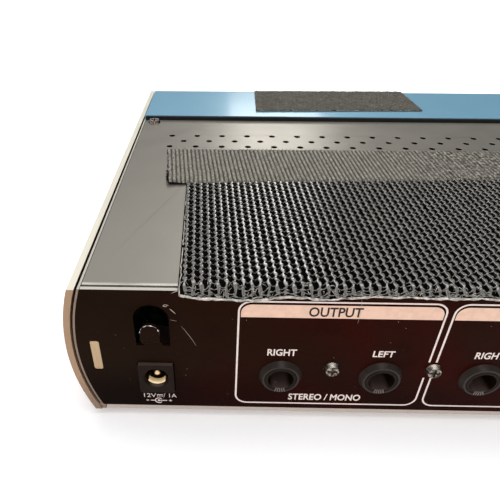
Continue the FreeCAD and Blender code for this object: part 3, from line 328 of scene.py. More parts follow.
def frame_steel():
    """Side frames: dull brown-grey rims, a bare tan tongue through the rear panel, and pale upper edges as
    a painted highlight.
    """
    finish = brushed("frame_steel", (0.25, 0.185, 0.145), 0.45, (1, 1, 20))
    outward = finish.calc("ABSOLUTE", finish.coordinate("X"))
    inboard = finish.band(outward, FLANGE_INSIDE, FLANGE_INSIDE + 0.2 * MM, 1.0, 0.0)
    above = finish.calc("ABSOLUTE", finish.calc("SUBTRACT", finish.coordinate("Z"), TONGUE_LEVEL))
    tongue = finish.both(inboard, finish.band(above, 6 * MM, 6.5 * MM, 1.0, 0.0))
    finish.paint_over(tongue, (0.46, 0.33, 0.2))
    # Painted highlight: paler where the frames face up.
    return finish.paint_over(finish.facing_up(0.3, 0.8), (0.6, 0.57, 0.5))


def screw_steel():
    """Dull nickel screws, darkened in patches of tarnish, with a painted highlight where they face up."""
    finish = brushed("screw_steel", (0.42, 0.36, 0.31), 0.22, (1, 1, 1), 0.05 * MM)
    tarnish = finish.band(finish.spots(0.55 * MM), 0.36, 0.56, 0.0, 0.92)
    finish.paint_over(tarnish, (0.03, 0.018, 0.014))
    # Painted highlight: paler where the heads face up.
    return finish.paint_over(finish.both(finish.facing_up(0.6, 0.95), 0.8), (0.62, 0.58, 0.52))


def socket_black():
    """Black socket plastic with a brown cast, and a painted highlight where it faces up."""
    finish = moulded("socket_black", (0.0105, 0.0048, 0.0022), 0.42, 0.01 * MM, 0.06)
    # Painted highlight: paler where the sockets face up.
    return finish.paint_over(finish.facing_up(0.6, 0.95), (0.085, 0.058, 0.05))


def board_green():
    """Solder resist with paler copper tracks under it."""
    finish = Finish("board_green", (0.012, 0.11, 0.045), 0.32)
    tracks = finish.band(finish.cells(3.2 * MM, "DISTANCE_TO_EDGE"), 0.05, 0.09, 0.7, 0.0)
    finish.paint_over(tracks, (0.05, 0.26, 0.11)).relief(tracks, 0.03 * MM)
    pads = finish.band(finish.cells(2.1 * MM), 0.1, 0.13, 1.0, 0.0)
    return finish.paint_over(pads, (0.62, 0.55, 0.38)).gloss(0.1, 4 * MM)


def ribbon_grey():
    """A flat cable's joined grey wires, with painted shade in the grooves between them."""
    finish = Finish("ribbon_grey", (0.42, 0.42, 0.43), 0.45)
    wires = finish.stripes(1.27 * MM, "X")
    finish.mottle(0.1, 6 * MM).relief(wires, 0.2 * MM)
    # Painted shade: darker in the grooves between the wires.
    return finish.paint_over(finish.band(wires, 0.0, 0.25, 0.5, 0.0), (0.16, 0.16, 0.17))


def lens_glass():
    """Smoked window over the display, with finger marks."""
    finish = Finish("lens_glass", (0.018, 0.024, 0.03), 0.07, Coat_Weight=1.0, Coat_Roughness=0.03)
    finish.set(Roughness=finish.band(finish.spots(7 * MM, (1, 1, 2)), 0.45, 0.7, 0.05, 0.22))
    return finish.dust((0.4, 0.4, 0.4), 1.1 * MM, 0.25, up_only=False)


def light_pipe():
    """Red lens of a status light, unlit."""
    glow = (1 * MM, 0.3 * MM, 0.2 * MM)
    finish = Finish("light_pipe", (0.42, 0.035, 0.02), 0.18, Subsurface_Weight=0.3, Subsurface_Radius=glow)
    return finish.mottle(0.2, 1 * MM).grain(0.3 * MM, 0.01 * MM)


def silk_ink(name="silk_ink", colour=(0.84, 0.72, 0.66)):
    """Screen-printing ink, cream unless a colour is given, a little thin in places."""
    finish = Finish(name, colour, 0.55, 0.0, 0.3)
    return finish.mottle(0.16, 1.6 * MM).grain(0.12 * MM, 0.008 * MM).gloss(0.1, 1 * MM)


def sleeve_gold():
    """Bright gold plate of the inlet's spring sleeve, with a faint glow of painted light in the bore."""
    # Painted light: a faint gold emission, though the sleeve is no lamp, stands in for light caught in the
    # bore.
    glow = {"Emission_Color": (1.0, 0.74, 0.4), "Emission_Strength": 0.3}
    finish = Finish("sleeve_gold", (0.95, 0.76, 0.46), 0.35, 0.35, 0.8, **glow)
    return finish.mottle(0.3, 0.8 * MM).gloss(0.1, 0.4 * MM).grain(0.1 * MM, 0.004 * MM)


def filament():
    """Glossy nylon of the hooks: flat worn tops that mirror the room, darkened towards their feet as
    painted shade among the hooks.
    """
    coat = {"Coat_Weight": 1.0, "Coat_Roughness": 0.045, "IOR": 1.62}
    finish = Finish("hook_filament", (0.12, 0.11, 0.093), 0.09, 0.0, 0.7, **coat)
    finish.mottle(0.55, 1.5 * MM).gloss(0.04, 0.6 * MM).grain(0.3 * MM, 0.003 * MM)
    # Painted shade: the lower the filament, by its stored lift, the darker.
    foot_shade = finish.band(finish.marked("lift"), 0.8 * MM, 1.42 * MM, 0.97, 0.0)
    return finish.paint_over(foot_shade, (0.008, 0.006, 0.005))


def hook_ground():
    """Black woven ground between the hooks, darker than their nylon: painted shade down between them."""
    finish = Finish("hook_ground", (0.003, 0.0022, 0.0018), 0.85, 0.0, 0.06)
    weave = finish.both(finish.stripes(0.62 * MM, "X"), finish.stripes(0.77 * MM, "Y"))
    return finish.relief(weave, 0.18 * MM).mottle(0.5, 2 * MM)


def selvedge_film():
    """Pale film of adhesive and nylon along the cut edges of the tape."""
    depth = {"Subsurface_Weight": 0.2, "Subsurface_Radius": (0.6 * MM, 0.5 * MM, 0.4 * MM)}
    finish = Finish("selvedge_film", (0.62, 0.575, 0.5), 0.25, 0.0, 0.8, **depth)
    return finish.mottle(0.9, 1.1 * MM).grain(0.35 * MM, 0.06 * MM)


def pile(name, colour, dark):
    """Brushed nylon loops: fuzzy, with sheen, painted shade in the hollows and pale caught fluff."""
    finish = Finish(name, colour, 0.9, 0.0, 0.15, Sheen_Weight=0.15, Sheen_Roughness=0.5)
    # Painted shade: darker where the pile lies low, by its stored lift.
    shaded_hollow = finish.band(finish.marked("lift"), -0.1 * MM, 0.26 * MM, 1.0, 0.0)
    finish.paint_over(shaded_hollow, scaled(dark, 0.4))
    finish.paint_over(finish.band(finish.spots(0.55 * MM), 0.38, 0.66, 0.75, 0.0), dark)
    finish.paint_over(finish.band(finish.spots(5 * MM), 0.4, 0.7, 0.0, 0.3), scaled(colour, 0.55))
    fluff = finish.band(finish.spots(0.4 * MM, (1, 5, 1)), 0.62, 0.72, 0.0, 0.5)
    finish.paint_over(fluff, (0.4, 0.38, 0.33))
    return finish.grain(0.3 * MM, 0.16 * MM).grain(1.1 * MM, 0.2 * MM)


def floor_paper():
    """Seamless white paper under the unit."""
    glow = {"Emission_Color": (1.0, 0.985, 0.99), "Emission_Strength": 0.2}
    finish = Finish("floor_paper", (0.93, 0.935, 0.95), 0.75, 0.0, 0.3, **glow)
    return finish.grain(0.9 * MM, 0.02 * MM).gloss(0.05, 80 * MM)


MOULDED = {
    "black_screw": ((0.03, 0.03, 0.03), 0.35, 0.01 * MM),
    "foot_rubber": ((0.018, 0.018, 0.018), 0.8, 0.03 * MM, 0.3),
    "gasket_rubber": ((0.012, 0.012, 0.012), 0.85, 0.05 * MM, 0.2),
    "nut_black": ((0.02, 0.0125, 0.0085), 0.34, 0.008 * MM, 0.18),
    "usb_white": ((0.8, 0.79, 0.75), 0.4),
    "chip_black": ((0.014, 0.014, 0.015), 0.55, 0.02 * MM),
    "header_black": ((0.016, 0.016, 0.016), 0.5),
    "knob_black": ((0.018, 0.018, 0.02), 0.42, 0.02 * MM, 0.4),
    "key_grey": ((0.11, 0.115, 0.125), 0.6, 0.03 * MM, 0.35),
    "power_white": ((0.74, 0.74, 0.71), 0.35),
    "display_case": ((0.02, 0.02, 0.02), 0.5),
}
BRUSHED = {
    "rail_steel": ((0.5, 0.5, 0.5), 0.35, (40, 1, 1)),
    "contact_gold": ((0.83, 0.6, 0.34), 0.22, (1, 10, 1)),
    "usb_shell": ((0.66, 0.66, 0.67), 0.26, (1, 12, 1)),
    "can_metal": ((0.6, 0.61, 0.63), 0.3, (1, 1, 12)),
    "sink_metal": ((0.05, 0.05, 0.055), 0.45, (1, 20, 1)),
    "spacer_brass": ((0.72, 0.53, 0.26), 0.3, (1, 1, 8)),
    "shaft_steel": ((0.58, 0.57, 0.56), 0.28, (1, 16, 1)),
    "control_case": ((0.48, 0.48, 0.49), 0.36, (12, 1, 1)),
}
PAINTED = {"base_steel": ((0.5, 0.425, 0.37), 0.42, 0.2)}
OWN_FINISHES = (plate_paint, panel_paint, shell_blue, cheek_metal, frame_steel, screw_steel)
OWN_FINISHES += (socket_black, board_green, ribbon_grey, lens_glass, light_pipe)
EASED = {
    "top_plate": 0.12 * MM,
    "rear_panel": 0.12 * MM,
    "cheek_left": 0.25 * MM,
    "cheek_right": 0.25 * MM,
    "base_pan": 0.2 * MM,
    "power_inlet": 0.12 * MM,
    "usb_socket": 0.12 * MM,
}


def finish_of(slot):
    """The finish of a material slot of the record, or None for the tapes, which are replaced."""
    for maker, table in ((moulded, MOULDED), (brushed, BRUSHED), (painted, PAINTED)):
        if slot in table:
            return maker(slot, *table[slot])
    return next((make() for make in OWN_FINISHES if make.__name__ == slot), None)


def dress_nodes():
    """Gives each CAD node the finish of its material slot, and softens the edges that show."""
    made = {}
    for part in frame["record"]["subparts"]:
        slot = part["material_slot"]
        if slot not in made:
            made[slot] = finish_of(slot)
        if not made[slot]:
            continue
        node = frame["nodes"][part["node"]]
        for entry in node.material_slots:
            entry.material = made[slot].material
        if part["node"] in EASED:
            ease_edges(node, EASED[part["node"]])


def ease_edges(node, width):
    """Welds the split corners of an imported mesh and bevels its sharp edges."""
    weld = node.modifiers.new("weld", "WELD")
    weld.merge_threshold = 0.001 * MM
    bevel = node.modifiers.new("ease", "BEVEL")
    bevel.width = width
    bevel.segments = 2
    bevel.limit_method = "ANGLE"
    bevel.angle_limit = math.radians(50)
    bevel.use_clamp_overlap = True
    bevel.harden_normals = True


# ---------------- mesh tools


class Solid:
    """Vertices and faces of one piece while it is built."""

    def __init__(self):
        self.points = []
        self.faces = []
        self.lifts = {}

    def ring(self, points, lift=None):
        """Adds a loop of points and returns their numbers. lift is kept with them for the material."""
        start = len(self.points)
        self.points.extend(points)
        numbers = list(range(start, len(self.points)))
        if lift is not None:
            self.lifts.update((number, lift) for number in numbers)
        return numbers

    def skin(self, first, second):
        """Quads between two loops of the same length."""
        for i, corner in enumerate(first):
            after = (i + 1) % len(first)
            self.faces.append((corner, first[after], second[after], second[i]))

    def tube(self, path, radius, across, sides=5, flat=1.0, lifts=None, crown=1.0):
        """A closed tube along a path, of one radius or a radius for each point, with its top cut at crown.

        across is a direction that no part of the path runs along.
        """
        last = None
        sizes = radius if isinstance(radius, list) else [radius] * len(path)
        turns = [FULL_TURN * k / sides for k in range(sides)]
        for i, point in enumerate(path):
            along = (path[min(i + 1, len(path) - 1)] - path[max(i - 1, 0)]).normalized()
            out = across.cross(along).normalized()
            up = along.cross(out)
            spokes = [math.cos(a) * out + flat * min(crown, math.sin(a)) * up for a in turns]
            loop = self.ring([point + sizes[i] * spoke for spoke in spokes], lifts[i] if lifts else None)
            if last:
                self.skin(last, loop)
            else:
                self.faces.append(tuple(reversed(loop)))
            last = loop
        self.faces.append(tuple(last))

    def cap_band(self, outline, lift):
        """A thin raised flat shape with one outline."""
        low = self.ring(outline)
        high = self.ring([p + lift for p in outline])
        self.skin(low, high)
        self.faces.append(tuple(reversed(low)))
        self.faces.append(tuple(high))
        return self

    def sheet(self, across, along, top, bottom, lift=None):
        """A closed slab whose upper face is top(u, v) and whose lower face is bottom(u, v)."""
        grid = []
        for j in range(along + 1):
            shares = [(i / across, j / along) for i in range(across + 1)]
            row = self.ring([top(u, v) for u, v in shares])
            if lift:
                self.lifts.update((number, lift(u, v)) for number, (u, v) in zip(row, shares))
            grid.append(row)
        for row, above in zip(grid, grid[1:]):
            for i in range(across):
                self.faces.append((row[i], row[i + 1], above[i + 1], above[i]))
        border = [(i, 0) for i in range(across)] + [(across, j) for j in range(along)]
        border += [(i, along) for i in range(across, 0, -1)] + [(0, j) for j in range(along, 0, -1)]
        foot = self.ring([bottom(i / across, j / along) for i, j in border])
        self.skin(foot, [grid[j][i] for i, j in border])
        self.faces.append(tuple(reversed(foot)))
        return self

    def piece(self, name, material, slot, body="chassis", smooth=True):
        """Makes the Blender object and lets it ride on a CAD body."""
        mesh = bpy.data.meshes.new(name)
        mesh.from_pydata(self.points, [], self.faces)
        mesh.materials.append(material)
        if self.lifts:
            stored = mesh.attributes.new("lift", "FLOAT", "POINT")
            stored.data.foreach_set("value", [self.lifts.get(i, 1 * MM) for i in range(len(self.points))])
        mesh.polygons.foreach_set("use_smooth", [smooth] * len(mesh.polygons))
        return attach(added(name, mesh), body)


def eased(share):
    """Smooth step from 0 to 1."""
    share = max(0.0, min(1.0, share))
    return share * share * (3 - 2 * share)


def wander(x, y, size, seed):
    """Smooth noise from about -1 to 1 over a surface."""
    return noise.noise(Vector((x / size, y / size, seed)))


def profile(stops, place):
    """A smooth line through (place, value) stops."""
    for (start, low), (end, high) in zip(stops, stops[1:]):
        if place <= end:
            return low + (high - low) * eased((place - start) / (end - start))
    return stops[-1][1]


# ---------------- hook-and-loop tape


class Tape:
    """A stuck-down tape: its outline, read from the corners of its CAD solid, and its pieces."""

    def __init__(self, node, name, slot):
        self.node, self.name, self.slot = node, name, slot
        self.pieces = []
        points = [v.co for v in frame["nodes"][node].data.vertices]
        self.near_left = min(points, key=lambda p: p.x + p.y)
        self.near_right = max(points, key=lambda p: p.x - p.y)
        self.far_right = max(points, key=lambda p: p.x + p.y)
        self.far_left = max(points, key=lambda p: p.y - p.x)
        self.floor = min(p.z for p in points if p.y > self.near_left.y + 5 * MM)
        across, away = self.near_right - self.near_left, self.far_left - self.near_left
        self.width = max(across.length, (self.far_right - self.far_left).length)
        self.length = max(away.length, (self.far_right - self.near_right).length)

    def at(self, u, v, height=0.0):
        """The point a share u across and v away from the rear, height above the surface below."""
        point = self.near_left.lerp(self.near_right, u).lerp(self.far_left.lerp(self.far_right, u), v)
        return Vector((point.x, point.y, self.floor + height))

    def edge(self, u, v):
        """How far a point lies from the nearest edge."""
        return min(v * self.length, (1 - v) * self.length, u * self.width, (1 - u) * self.width)

    def piece(self, name, solid, material):
        """Makes a piece of the tape. The first one is its ground."""
        self.pieces.append(solid.piece(f"{self.name}_{name}", material, self.slot))

    def lay(self):
        ground, *others = self.pieces
        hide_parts(self.node)
        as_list(others)


HOOK_PITCH = 1.87 * MM
ROW_PITCH = 2.3 * MM
GROUND = 0.45 * MM
BEAD_LEVEL = 1.48 * MM
HEAD_GAP = 1.7 * MM
RIM_SETBACK = 0.3 * MM
RIM_REACH = 2.6 * MM
# Places along the rear edge, from its left end, and how far it sags there, in millimetres.
SAG_STOPS = ((0, 0.5), (5, 1.5), (16, 1.8), (25, 0.7), (33, 1.2), (43, 0.35))
SAG_STOPS += ((62, 0.4), (95, 0.9), (165, 0.5))
# One side of a bridging loop, in millimetres: distance from its middle, height and wire radius.
RISE = ((-1.02, 0.6, 0.17), (-0.88, 1.42, 0.22), (-0.62, 1.56, 0.2), (-0.3, 1.2, 0.13))
CREST = (*RISE, (0.0, 1.04, 0.11), *((-aside, height, wire) for aside, height, wire in reversed(RISE)))


def tape_lie(tape, point):
    """How far the hook tape stands off the plate or sags over its rear rim, at a point."""
    over = (REAR_FACE + RIM_SETBACK - point.y) / (RIM_SETBACK + 1.5 * MM)
    sag = profile(SAG_STOPS, (point.x - tape.near_left.x) / MM) * MM * eased(over)
    return 0.12 * MM * (1 + wander(point.x, point.y, 14 * MM, 3)) - sag


def laid(tape, point, height):
    """Sets a point at a height over the hook tape's underside."""
    point.z = tape.floor + height + tape_lie(tape, point)
    return point


def standing(tape, point):
    """How far the hooks stand up: in full, but pressed flat towards the rear edge."""
    return 0.25 + 0.75 * eased((point.y - tape.near_left.y) / RIM_REACH)


def hook_filaments(tape):
    """Bridging filaments staggered from gap to gap, between chains of worn flat beads along the ribs."""
    chance = random.Random(11)
    solid = Solid()
    across = tape.far_right - tape.far_left
    across.z = 0
    across.normalize()
    back = Vector((across.y, -across.x, 0))
    start = tape.at(0, 1)
    near, spare, steps = tape.near_left.y, 3, 6
    ribs = int((tape.near_right - tape.near_left).length / HOOK_PITCH) + 2 * spare
    rows = int((tape.far_right - tape.near_right).length / ROW_PITCH) + 2

    def inside(point, margin, side):
        left = tape.near_left.lerp(tape.far_left, (point.y - near) / (tape.far_left.y - near)).x
        right = tape.near_right.lerp(tape.far_right, (point.y - near) / (tape.far_right.y - near)).x
        return point.y > near + margin and left + side < point.x < right - side

    def placed(sideways, away, height):
        point = start + across * sideways + back * away
        return laid(tape, point, GROUND + height * standing(tape, point))

    for rib in range(ribs):
        middle_line = (rib - spare + 0.4) * HOOK_PITCH
        beads, sizes, web = [], [], []
        for i in range(rows * steps + 1):
            away = HEAD_GAP + i * ROW_PITCH / steps
            swing = FULL_TURN * (i / steps + 0.5 * (rib % 2))
            sideways = middle_line + 0.13 * MM * math.sin(swing) + 0.04 * MM * chance.uniform(-1, 1)
            point = placed(sideways, away, BEAD_LEVEL + 0.03 * MM * math.cos(swing))
            if inside(point, 0.1 * MM, 0.3 * MM):
                beads.append(point)
                uneven = 1 + 0.4 * wander(point.x, point.y, 1.6 * MM, 9)
                sizes.append((0.35 + 0.16 * math.cos(swing)) * uneven * MM)
                if i % 3 == 0:
                    web.append(placed(middle_line, away, 0.72 * MM))
        if len(beads) > 2 and len(web) > 1:
            solid.tube(beads, sizes, Z_AXIS, 12, 0.42, [BEAD_LEVEL] * len(beads), 0.6)
            # The web sits low with lift 0, so the filament finish paints it wholly in shade.
            solid.tube(web, 0.17 * MM, Z_AXIS, 4, 3.2, [0.0] * len(web))
    for gap in range(ribs - 1):
        centre_line = (gap - spare + 0.9) * HOOK_PITCH
        brink = (start.y + across.y * centre_line - near) / across.x
        places = [HEAD_GAP + (row + 0.15 + 0.5 * (gap % 2)) * ROW_PITCH for row in range(rows)]
        places += [brink - chance.uniform(0.25, 0.6) * MM, brink - chance.uniform(0.8, 1.4) * MM]
        for place in places:
            away = place + chance.uniform(-0.22, 0.22) * MM
            tilt = chance.uniform(-0.32, 0.32)
            rise = chance.uniform(0.82, 1.12)
            worn = chance.random()
            if worn < 0.006 or not inside(placed(centre_line, away, 0), 0.15 * MM, 1.05 * MM):
                continue
            bridge = CREST[:5] if worn > 0.975 else CREST
            path = [placed(centre_line + s * MM, away + tilt * s * MM, h * rise * MM) for s, h, _ in bridge]
            stout = chance.uniform(0.85, 1.15) * MM
            sizes = [stout * wire for _, _, wire in bridge]
            solid.tube(path, sizes, Y_AXIS, 5, 1.0, [h * rise * MM for _, h, _ in bridge])
    return solid


def stray_threads(tape):
    """Torn pale threads and flecks of film along the rear edge."""
    chance = random.Random(23)
    solid = Solid()
    for _ in range(300):
        base = tape.at(chance.random(), 0.002 + 0.045 * chance.random() ** 1.6)
        reach = chance.uniform(0.6, 2.6) * MM
        turn = chance.uniform(0, FULL_TURN)
        bend = chance.uniform(-1.2, 1.2)
        rise = chance.uniform(0.2, 1.3) * MM
        path = []
        for k in range(5):
            share = k / 4
            heading = turn + bend * share
            point = base + reach * share * Vector((math.cos(heading), 0.5 * math.sin(heading), 0))
            point.y = max(point.y, tape.near_left.y - 0.4 * MM)
            arch = rise * (0.4 + math.sin(math.pi * share))
            path.append(laid(tape, point, GROUND + 0.15 * MM + standing(tape, point) * arch))
        thick = chance.uniform(0.05, 0.12) * MM
        solid.tube(path, [thick * (1.1 - 0.25 * abs(k - 2)) for k in range(5)], Vector((0.2, 0.1, 1)), 3)
    return solid


def selvedge(tape):
    """A flattened bead of film along the rear edge and up both ends."""
    solid = Solid()
    rear, left, right = ((0, 0), (1, 0)), ((0, 0), (0, 1)), ((1, 0), (1, 1))
    for (start, end), steps, width in ((rear, 220, 0.68), (left, 70, 0.34), (right, 70, 0.34)):
        path, sizes = [], []
        for k in range(steps + 1):
            u, v = Vector(start).lerp(Vector(end), k / steps)
            point = tape.at(u, v) + 0.4 * MM * (1 - 2 * u) * X_AXIS
            ragged = 0.35 * MM * wander(point.x, point.y, 2.1 * MM, 8)
            point += Vector((ragged, ragged, 0))
            laid(tape, point, 0.4 * MM + 0.2 * MM * wander(point.x, point.y, 1.3 * MM, 5))
            path.append(point)
            sizes.append(width / 2 * MM * (1 + 0.8 * wander(point.x, point.y, 1.1 * MM, 12)))
        solid.tube(path, sizes, Z_AXIS, 6, 0.8)
    return solid


def hook_tape():
    """The wide hook tape: woven ground, film along its edges, filaments and loose threads."""
    tape = Tape("hook_tape_pad", "hook_tape", "hook_tape")

    def surface(height):
        return lambda u, v: laid(tape, tape.at(u, v), height)

    ground = Solid().sheet(110, 110, surface(GROUND), surface(0.06 * MM))
    tape.piece("ground", ground, hook_ground().material)
    tape.piece("hooks", hook_filaments(tape), filament().material)
    film = selvedge_film().material
    tape.piece("threads", stray_threads(tape), film)
    tape.piece("selvedge", selvedge(tape), film)
    tape.lay()


def fuzz(count, surface, seed, longest, lean=1.0):
    """Loose curved fibres scattered over a pile, which stand and lean over."""
    chance = random.Random(seed)
    solid = Solid()
    for _ in range(count):
        base = surface(chance.uniform(0.003, 0.997), chance.uniform(0.01, 0.99)) - 0.05 * MM * Z_AXIS
        length, bow = chance.uniform(0.5, 1.0) * longest, lean * chance.uniform(0.5, 1.2)
        turn = chance.uniform(0, FULL_TURN)
        out = Vector((math.cos(turn), math.sin(turn), 0))
        path = []
        for share in (0, 1 / 3, 2 / 3, 1):
            bend = bow * share * share
            path.append(base + length * (share * (1 - 0.45 * bend) * Z_AXIS + bend * out))
        solid.tube(path, 0.04 * MM, Vector((-out.y, out.x, 0.01)), 3)
    return solid


def tuft(solid, base, tip, radius, arch, across):
    """A short cut thread with a slight arch, from base to the offset tip, which is in millimetres."""
    tip = Vector(tip) * MM
    solid.tube([base, base + 0.5 * tip + arch * Z_AXIS, base + tip], radius, across, 3)


RIB_PITCH = 1.38 * MM
STRIP_PILE = 0.62 * MM


def loop_strip():
    """The ribbed loop strip: ribs away from the rear, a frayed left end and a curled corner."""
    tape = Tape("loop_tape_strip", "loop_strip", "loop_tape")
    width, length = tape.width, tape.length
    ribs = round(width / RIB_PITCH)

    def flat_at(height):
        def at(u, v):
            point = tape.at(u, v, height)
            point.x += wander(0, point.y, 1.1 * MM, 2) * 0.6 * MM * eased(1 - u * width / (2 * MM))
            curl = eased(1 - u * width / (7 * MM)) * eased(1 - v * length / (6 * MM))
            point.z += 0.1 * MM * (1 + wander(point.x, point.y, 9 * MM, 1)) + 0.5 * MM * curl
            return point

        return at

    def rib_height(u, v):
        point = tape.at(u, v)
        worn = eased((u * width - 55 * MM) / (50 * MM))
        wave = abs(math.sin(math.pi * u * ribs + 0.25 * wander(point.x, point.y, 6 * MM, 4)))
        ridge = 0.62 * MM * (wave**0.8 - 0.5) * (1 - 0.55 * worn)
        loops = 0.13 * MM * wander(point.x, point.y, 0.62 * MM, 6)
        return ridge + loops + 0.34 * MM * worn * wander(point.x, point.y, 1.2 * MM, 9)

    def pile_top(u, v):
        point = flat_at(STRIP_PILE)(u, v)
        edge = tape.edge(u, v) / MM
        point.z += rib_height(u, v) * eased(0.35 + edge / 0.9) - 0.25 * MM * eased(1 - edge / 0.7)
        point.y += 0.18 * MM * wander(point.x, 0, 0.5 * MM, 7) * eased(1 - v * length / (1.5 * MM))
        return point

    # Painted shadow: the frayed threads along the rear edge and the left end are near black, as is the
    # ground under the pile.
    black = hook_ground().material
    cloth = pile("loop_strip_nylon", (0.37, 0.346, 0.285), (0.055, 0.049, 0.04)).material
    tape.piece("ground", Solid().sheet(90, 14, flat_at(0.35 * MM), flat_at(0.05 * MM)), black)
    tape.piece("pile", Solid().sheet(ribs * 7, 54, pile_top, flat_at(0.3 * MM), rib_height), cloth)
    tape.piece("fibres", fuzz(2600, pile_top, 31, 0.55 * MM), cloth)
    fringe = Solid()
    chance = random.Random(37)
    for _ in range(420):
        base = flat_at(0.45 * MM)(chance.random(), 0.0)
        tip = (chance.uniform(-0.3, 0.3), -chance.uniform(0.3, 0.9), -0.25)
        tuft(fringe, base, tip, 0.06 * MM, 0.12 * MM, X_AXIS)
    for _ in range(90):
        base = flat_at(0.5 * MM)(0.001, 0.35 * chance.random() ** 1.5)
        tip = (-chance.uniform(0.2, 0.9), chance.uniform(-0.4, 0.4), -0.2)
        tuft(fringe, base, tip, 0.06 * MM, 0.12 * MM, Y_AXIS)
    tape.piece("fringe", fringe, black)
    tape.lay()


def loop_patch():
    """The short loop patch on the shell: flattened fuzz, specks of fluff and a pale cut edge."""
    tape = Tape("loop_tape_patch", "loop_patch", "loop_tape")

    def flat_at(height):
        def at(u, v):
            point = tape.at(u, v, height)
            point.z += 0.08 * MM * (1 + wander(point.x, point.y, 8 * MM, 1))
            return point

        return at

    def pile_top(u, v):
        point = flat_at(0.75 * MM)(u, v)
        rough = 0.2 * wander(point.x, point.y, 0.8 * MM, 2) + 0.14 * wander(point.x, point.y, 2.2 * MM, 3)
        point.z += (rough - 0.3 * eased(1 - tape.edge(u, v) / (0.8 * MM))) * MM
        return point

    cloth = pile("loop_patch_nylon", (0.215, 0.2, 0.152), (0.07, 0.063, 0.05)).material
    ground = Solid().sheet(40, 18, flat_at(0.4 * MM), flat_at(0.05 * MM))
    tape.piece("ground", ground, hook_ground().material)
    tape.piece("pile", Solid().sheet(200, 88, pile_top, flat_at(0.08 * MM)), cloth)
    tape.piece("fibres", fuzz(1800, pile_top, 41, 0.6 * MM, 1.1), cloth)
    fluff = fuzz(70, pile_top, 43, 1.5 * MM, 1.3)
    chance = random.Random(47)
    for _ in range(300):
        base = flat_at(0.5 * MM)(chance.random(), 0.004)
        tip = (chance.uniform(-0.15, 0.15), -chance.uniform(0.2, 0.5), -0.3)
        tuft(fluff, base, tip, 0.05 * MM, 0.1 * MM, X_AXIS)
    tape.piece("fluff", fluff, silk_ink("pale_fluff", (0.5, 0.47, 0.4)).material)
    tape.lay()


# ---------------- marks on the rear panel

INK = 0.04 * MM
OUT_REAR = -Y_AXIS
LINE = 0.45 * MM
CORNER = 3.0 * MM
BOX_TOP = 24.8 * MM
BOX_BOTTOM = -10.8 * MM
SCREW_GAP = 2.85 * MM
HEADER_TOP = 24.4 * MM
HEADER_FOOT = 20.0 * MM
JACK_LEVEL = middle("jack_nuts").z
JACKS = ("output_jack_right", "output_jack_left", "input_jack_right", "input_jack_left", "pedal_jack")


def rounded_path(corners, radius, steps=7):
    """A polyline whose inner corners are arcs. Corners are (x, z) pairs."""
    points = [Vector(corners[0])]
    for before, corner, after in zip(corners, corners[1:], corners[2:]):
        corner = Vector(corner)
        to_start = (Vector(before) - corner).normalized()
        to_end = (Vector(after) - corner).normalized()
        hub = corner + radius * (to_start + to_end)
        for k in range(steps + 1):
            angle = math.pi / 2 * k / steps
            points.append(hub - radius * (math.sin(angle) * to_start + math.cos(angle) * to_end))
    points.append(Vector(corners[-1]))
    return points


def stroke(solid, points, width, face=REAR_FACE, lift=INK * OUT_REAR):
    """A painted line of constant width along (x, z) points on an upright face."""
    left, right = [], []
    for i, point in enumerate(points):
        along = (points[min(i + 1, len(points) - 1)] - points[max(i - 1, 0)]).normalized()
        side = Vector((-along.y, along.x)) * width / 2
        left.append(point + side)
        right.append(point - side)
    outline = [Vector((p.x, face, p.y)) for p in left + right[::-1]]
    low = solid.ring(outline)
    high = solid.ring([p + lift for p in outline])
    solid.skin(low, high)
    for i in range(len(points) - 1):
        solid.faces.append((low[i], low[i + 1], low[-2 - i], low[-1 - i]))
        solid.faces.append((high[i], high[-1 - i], high[-2 - i], high[i + 1]))


def lettering(name, text, centre, size, ink, weight, lift=INK):
    """Screen-printed capitals that fill a (width, height) on the rear panel, centred on (x, z)."""
    curve = bpy.data.curves.new(name, "FONT")
    curve.body = text
    curve.offset = weight
    curve.extrude = 0.01
    curve.resolution_u = 3
    stencil = added(name + "_stencil", curve)
    bpy.context.view_layer.update()
    evaluated = stencil.evaluated_get(bpy.context.evaluated_depsgraph_get())
    mesh = bpy.data.meshes.new_from_object(evaluated)
    bpy.data.objects.remove(stencil)
    xs = [v.co.x for v in mesh.vertices]
    ys = [v.co.y for v in mesh.vertices]
    wide, high = max(xs) - min(xs), max(ys) - min(ys)
    for vertex in mesh.vertices:
        x = centre[0] + ((vertex.co.x - min(xs)) / wide - 0.5) * size[0]
        z = centre[1] + ((vertex.co.y - min(ys)) / high - 0.5) * size[1]
        depth = lift if vertex.co.z > 0 else 0.0
        vertex.co = (x, REAR_FACE - depth, z)
    mesh.materials.clear()
    mesh.materials.append(ink)
    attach(added(name, mesh), "chassis")


def port_box(lines, headers, left, right, open_left, open_right):
    """A rounded frame round some ports with a filled header, open where a screw sits on its side."""
    top, bottom = JACK_LEVEL + BOX_TOP, JACK_LEVEL + BOX_BOTTOM
    screw = middle("panel_screws").z
    upper, lower = screw + SCREW_GAP, screw - SCREW_GAP
    if open_left and open_right:
        for end, gap_edge in ((top, upper), (bottom, lower)):
            half = [(left, gap_edge), (left, end), (right, end), (right, gap_edge)]
            stroke(lines, rounded_path(half, CORNER), LINE)
    else:
        gap_side, far = (left, right) if open_left else (right, left)
        bracket = [(gap_side, upper), (gap_side, top), (far, top)]
        bracket += [(far, bottom), (gap_side, bottom), (gap_side, lower)]
        stroke(lines, rounded_path(bracket, CORNER), LINE)
    gap = LINE / 2 + 0.28 * MM
    foot, head = JACK_LEVEL + HEADER_FOOT, JACK_LEVEL + HEADER_TOP - gap
    shape = [(right - gap, foot), (right - gap, head), (left + gap, head), (left + gap, foot)]
    outline = rounded_path(shape, CORNER - gap)
    headers.cap_band([Vector((p.x, REAR_FACE, p.y)) for p in outline], INK * OUT_REAR)


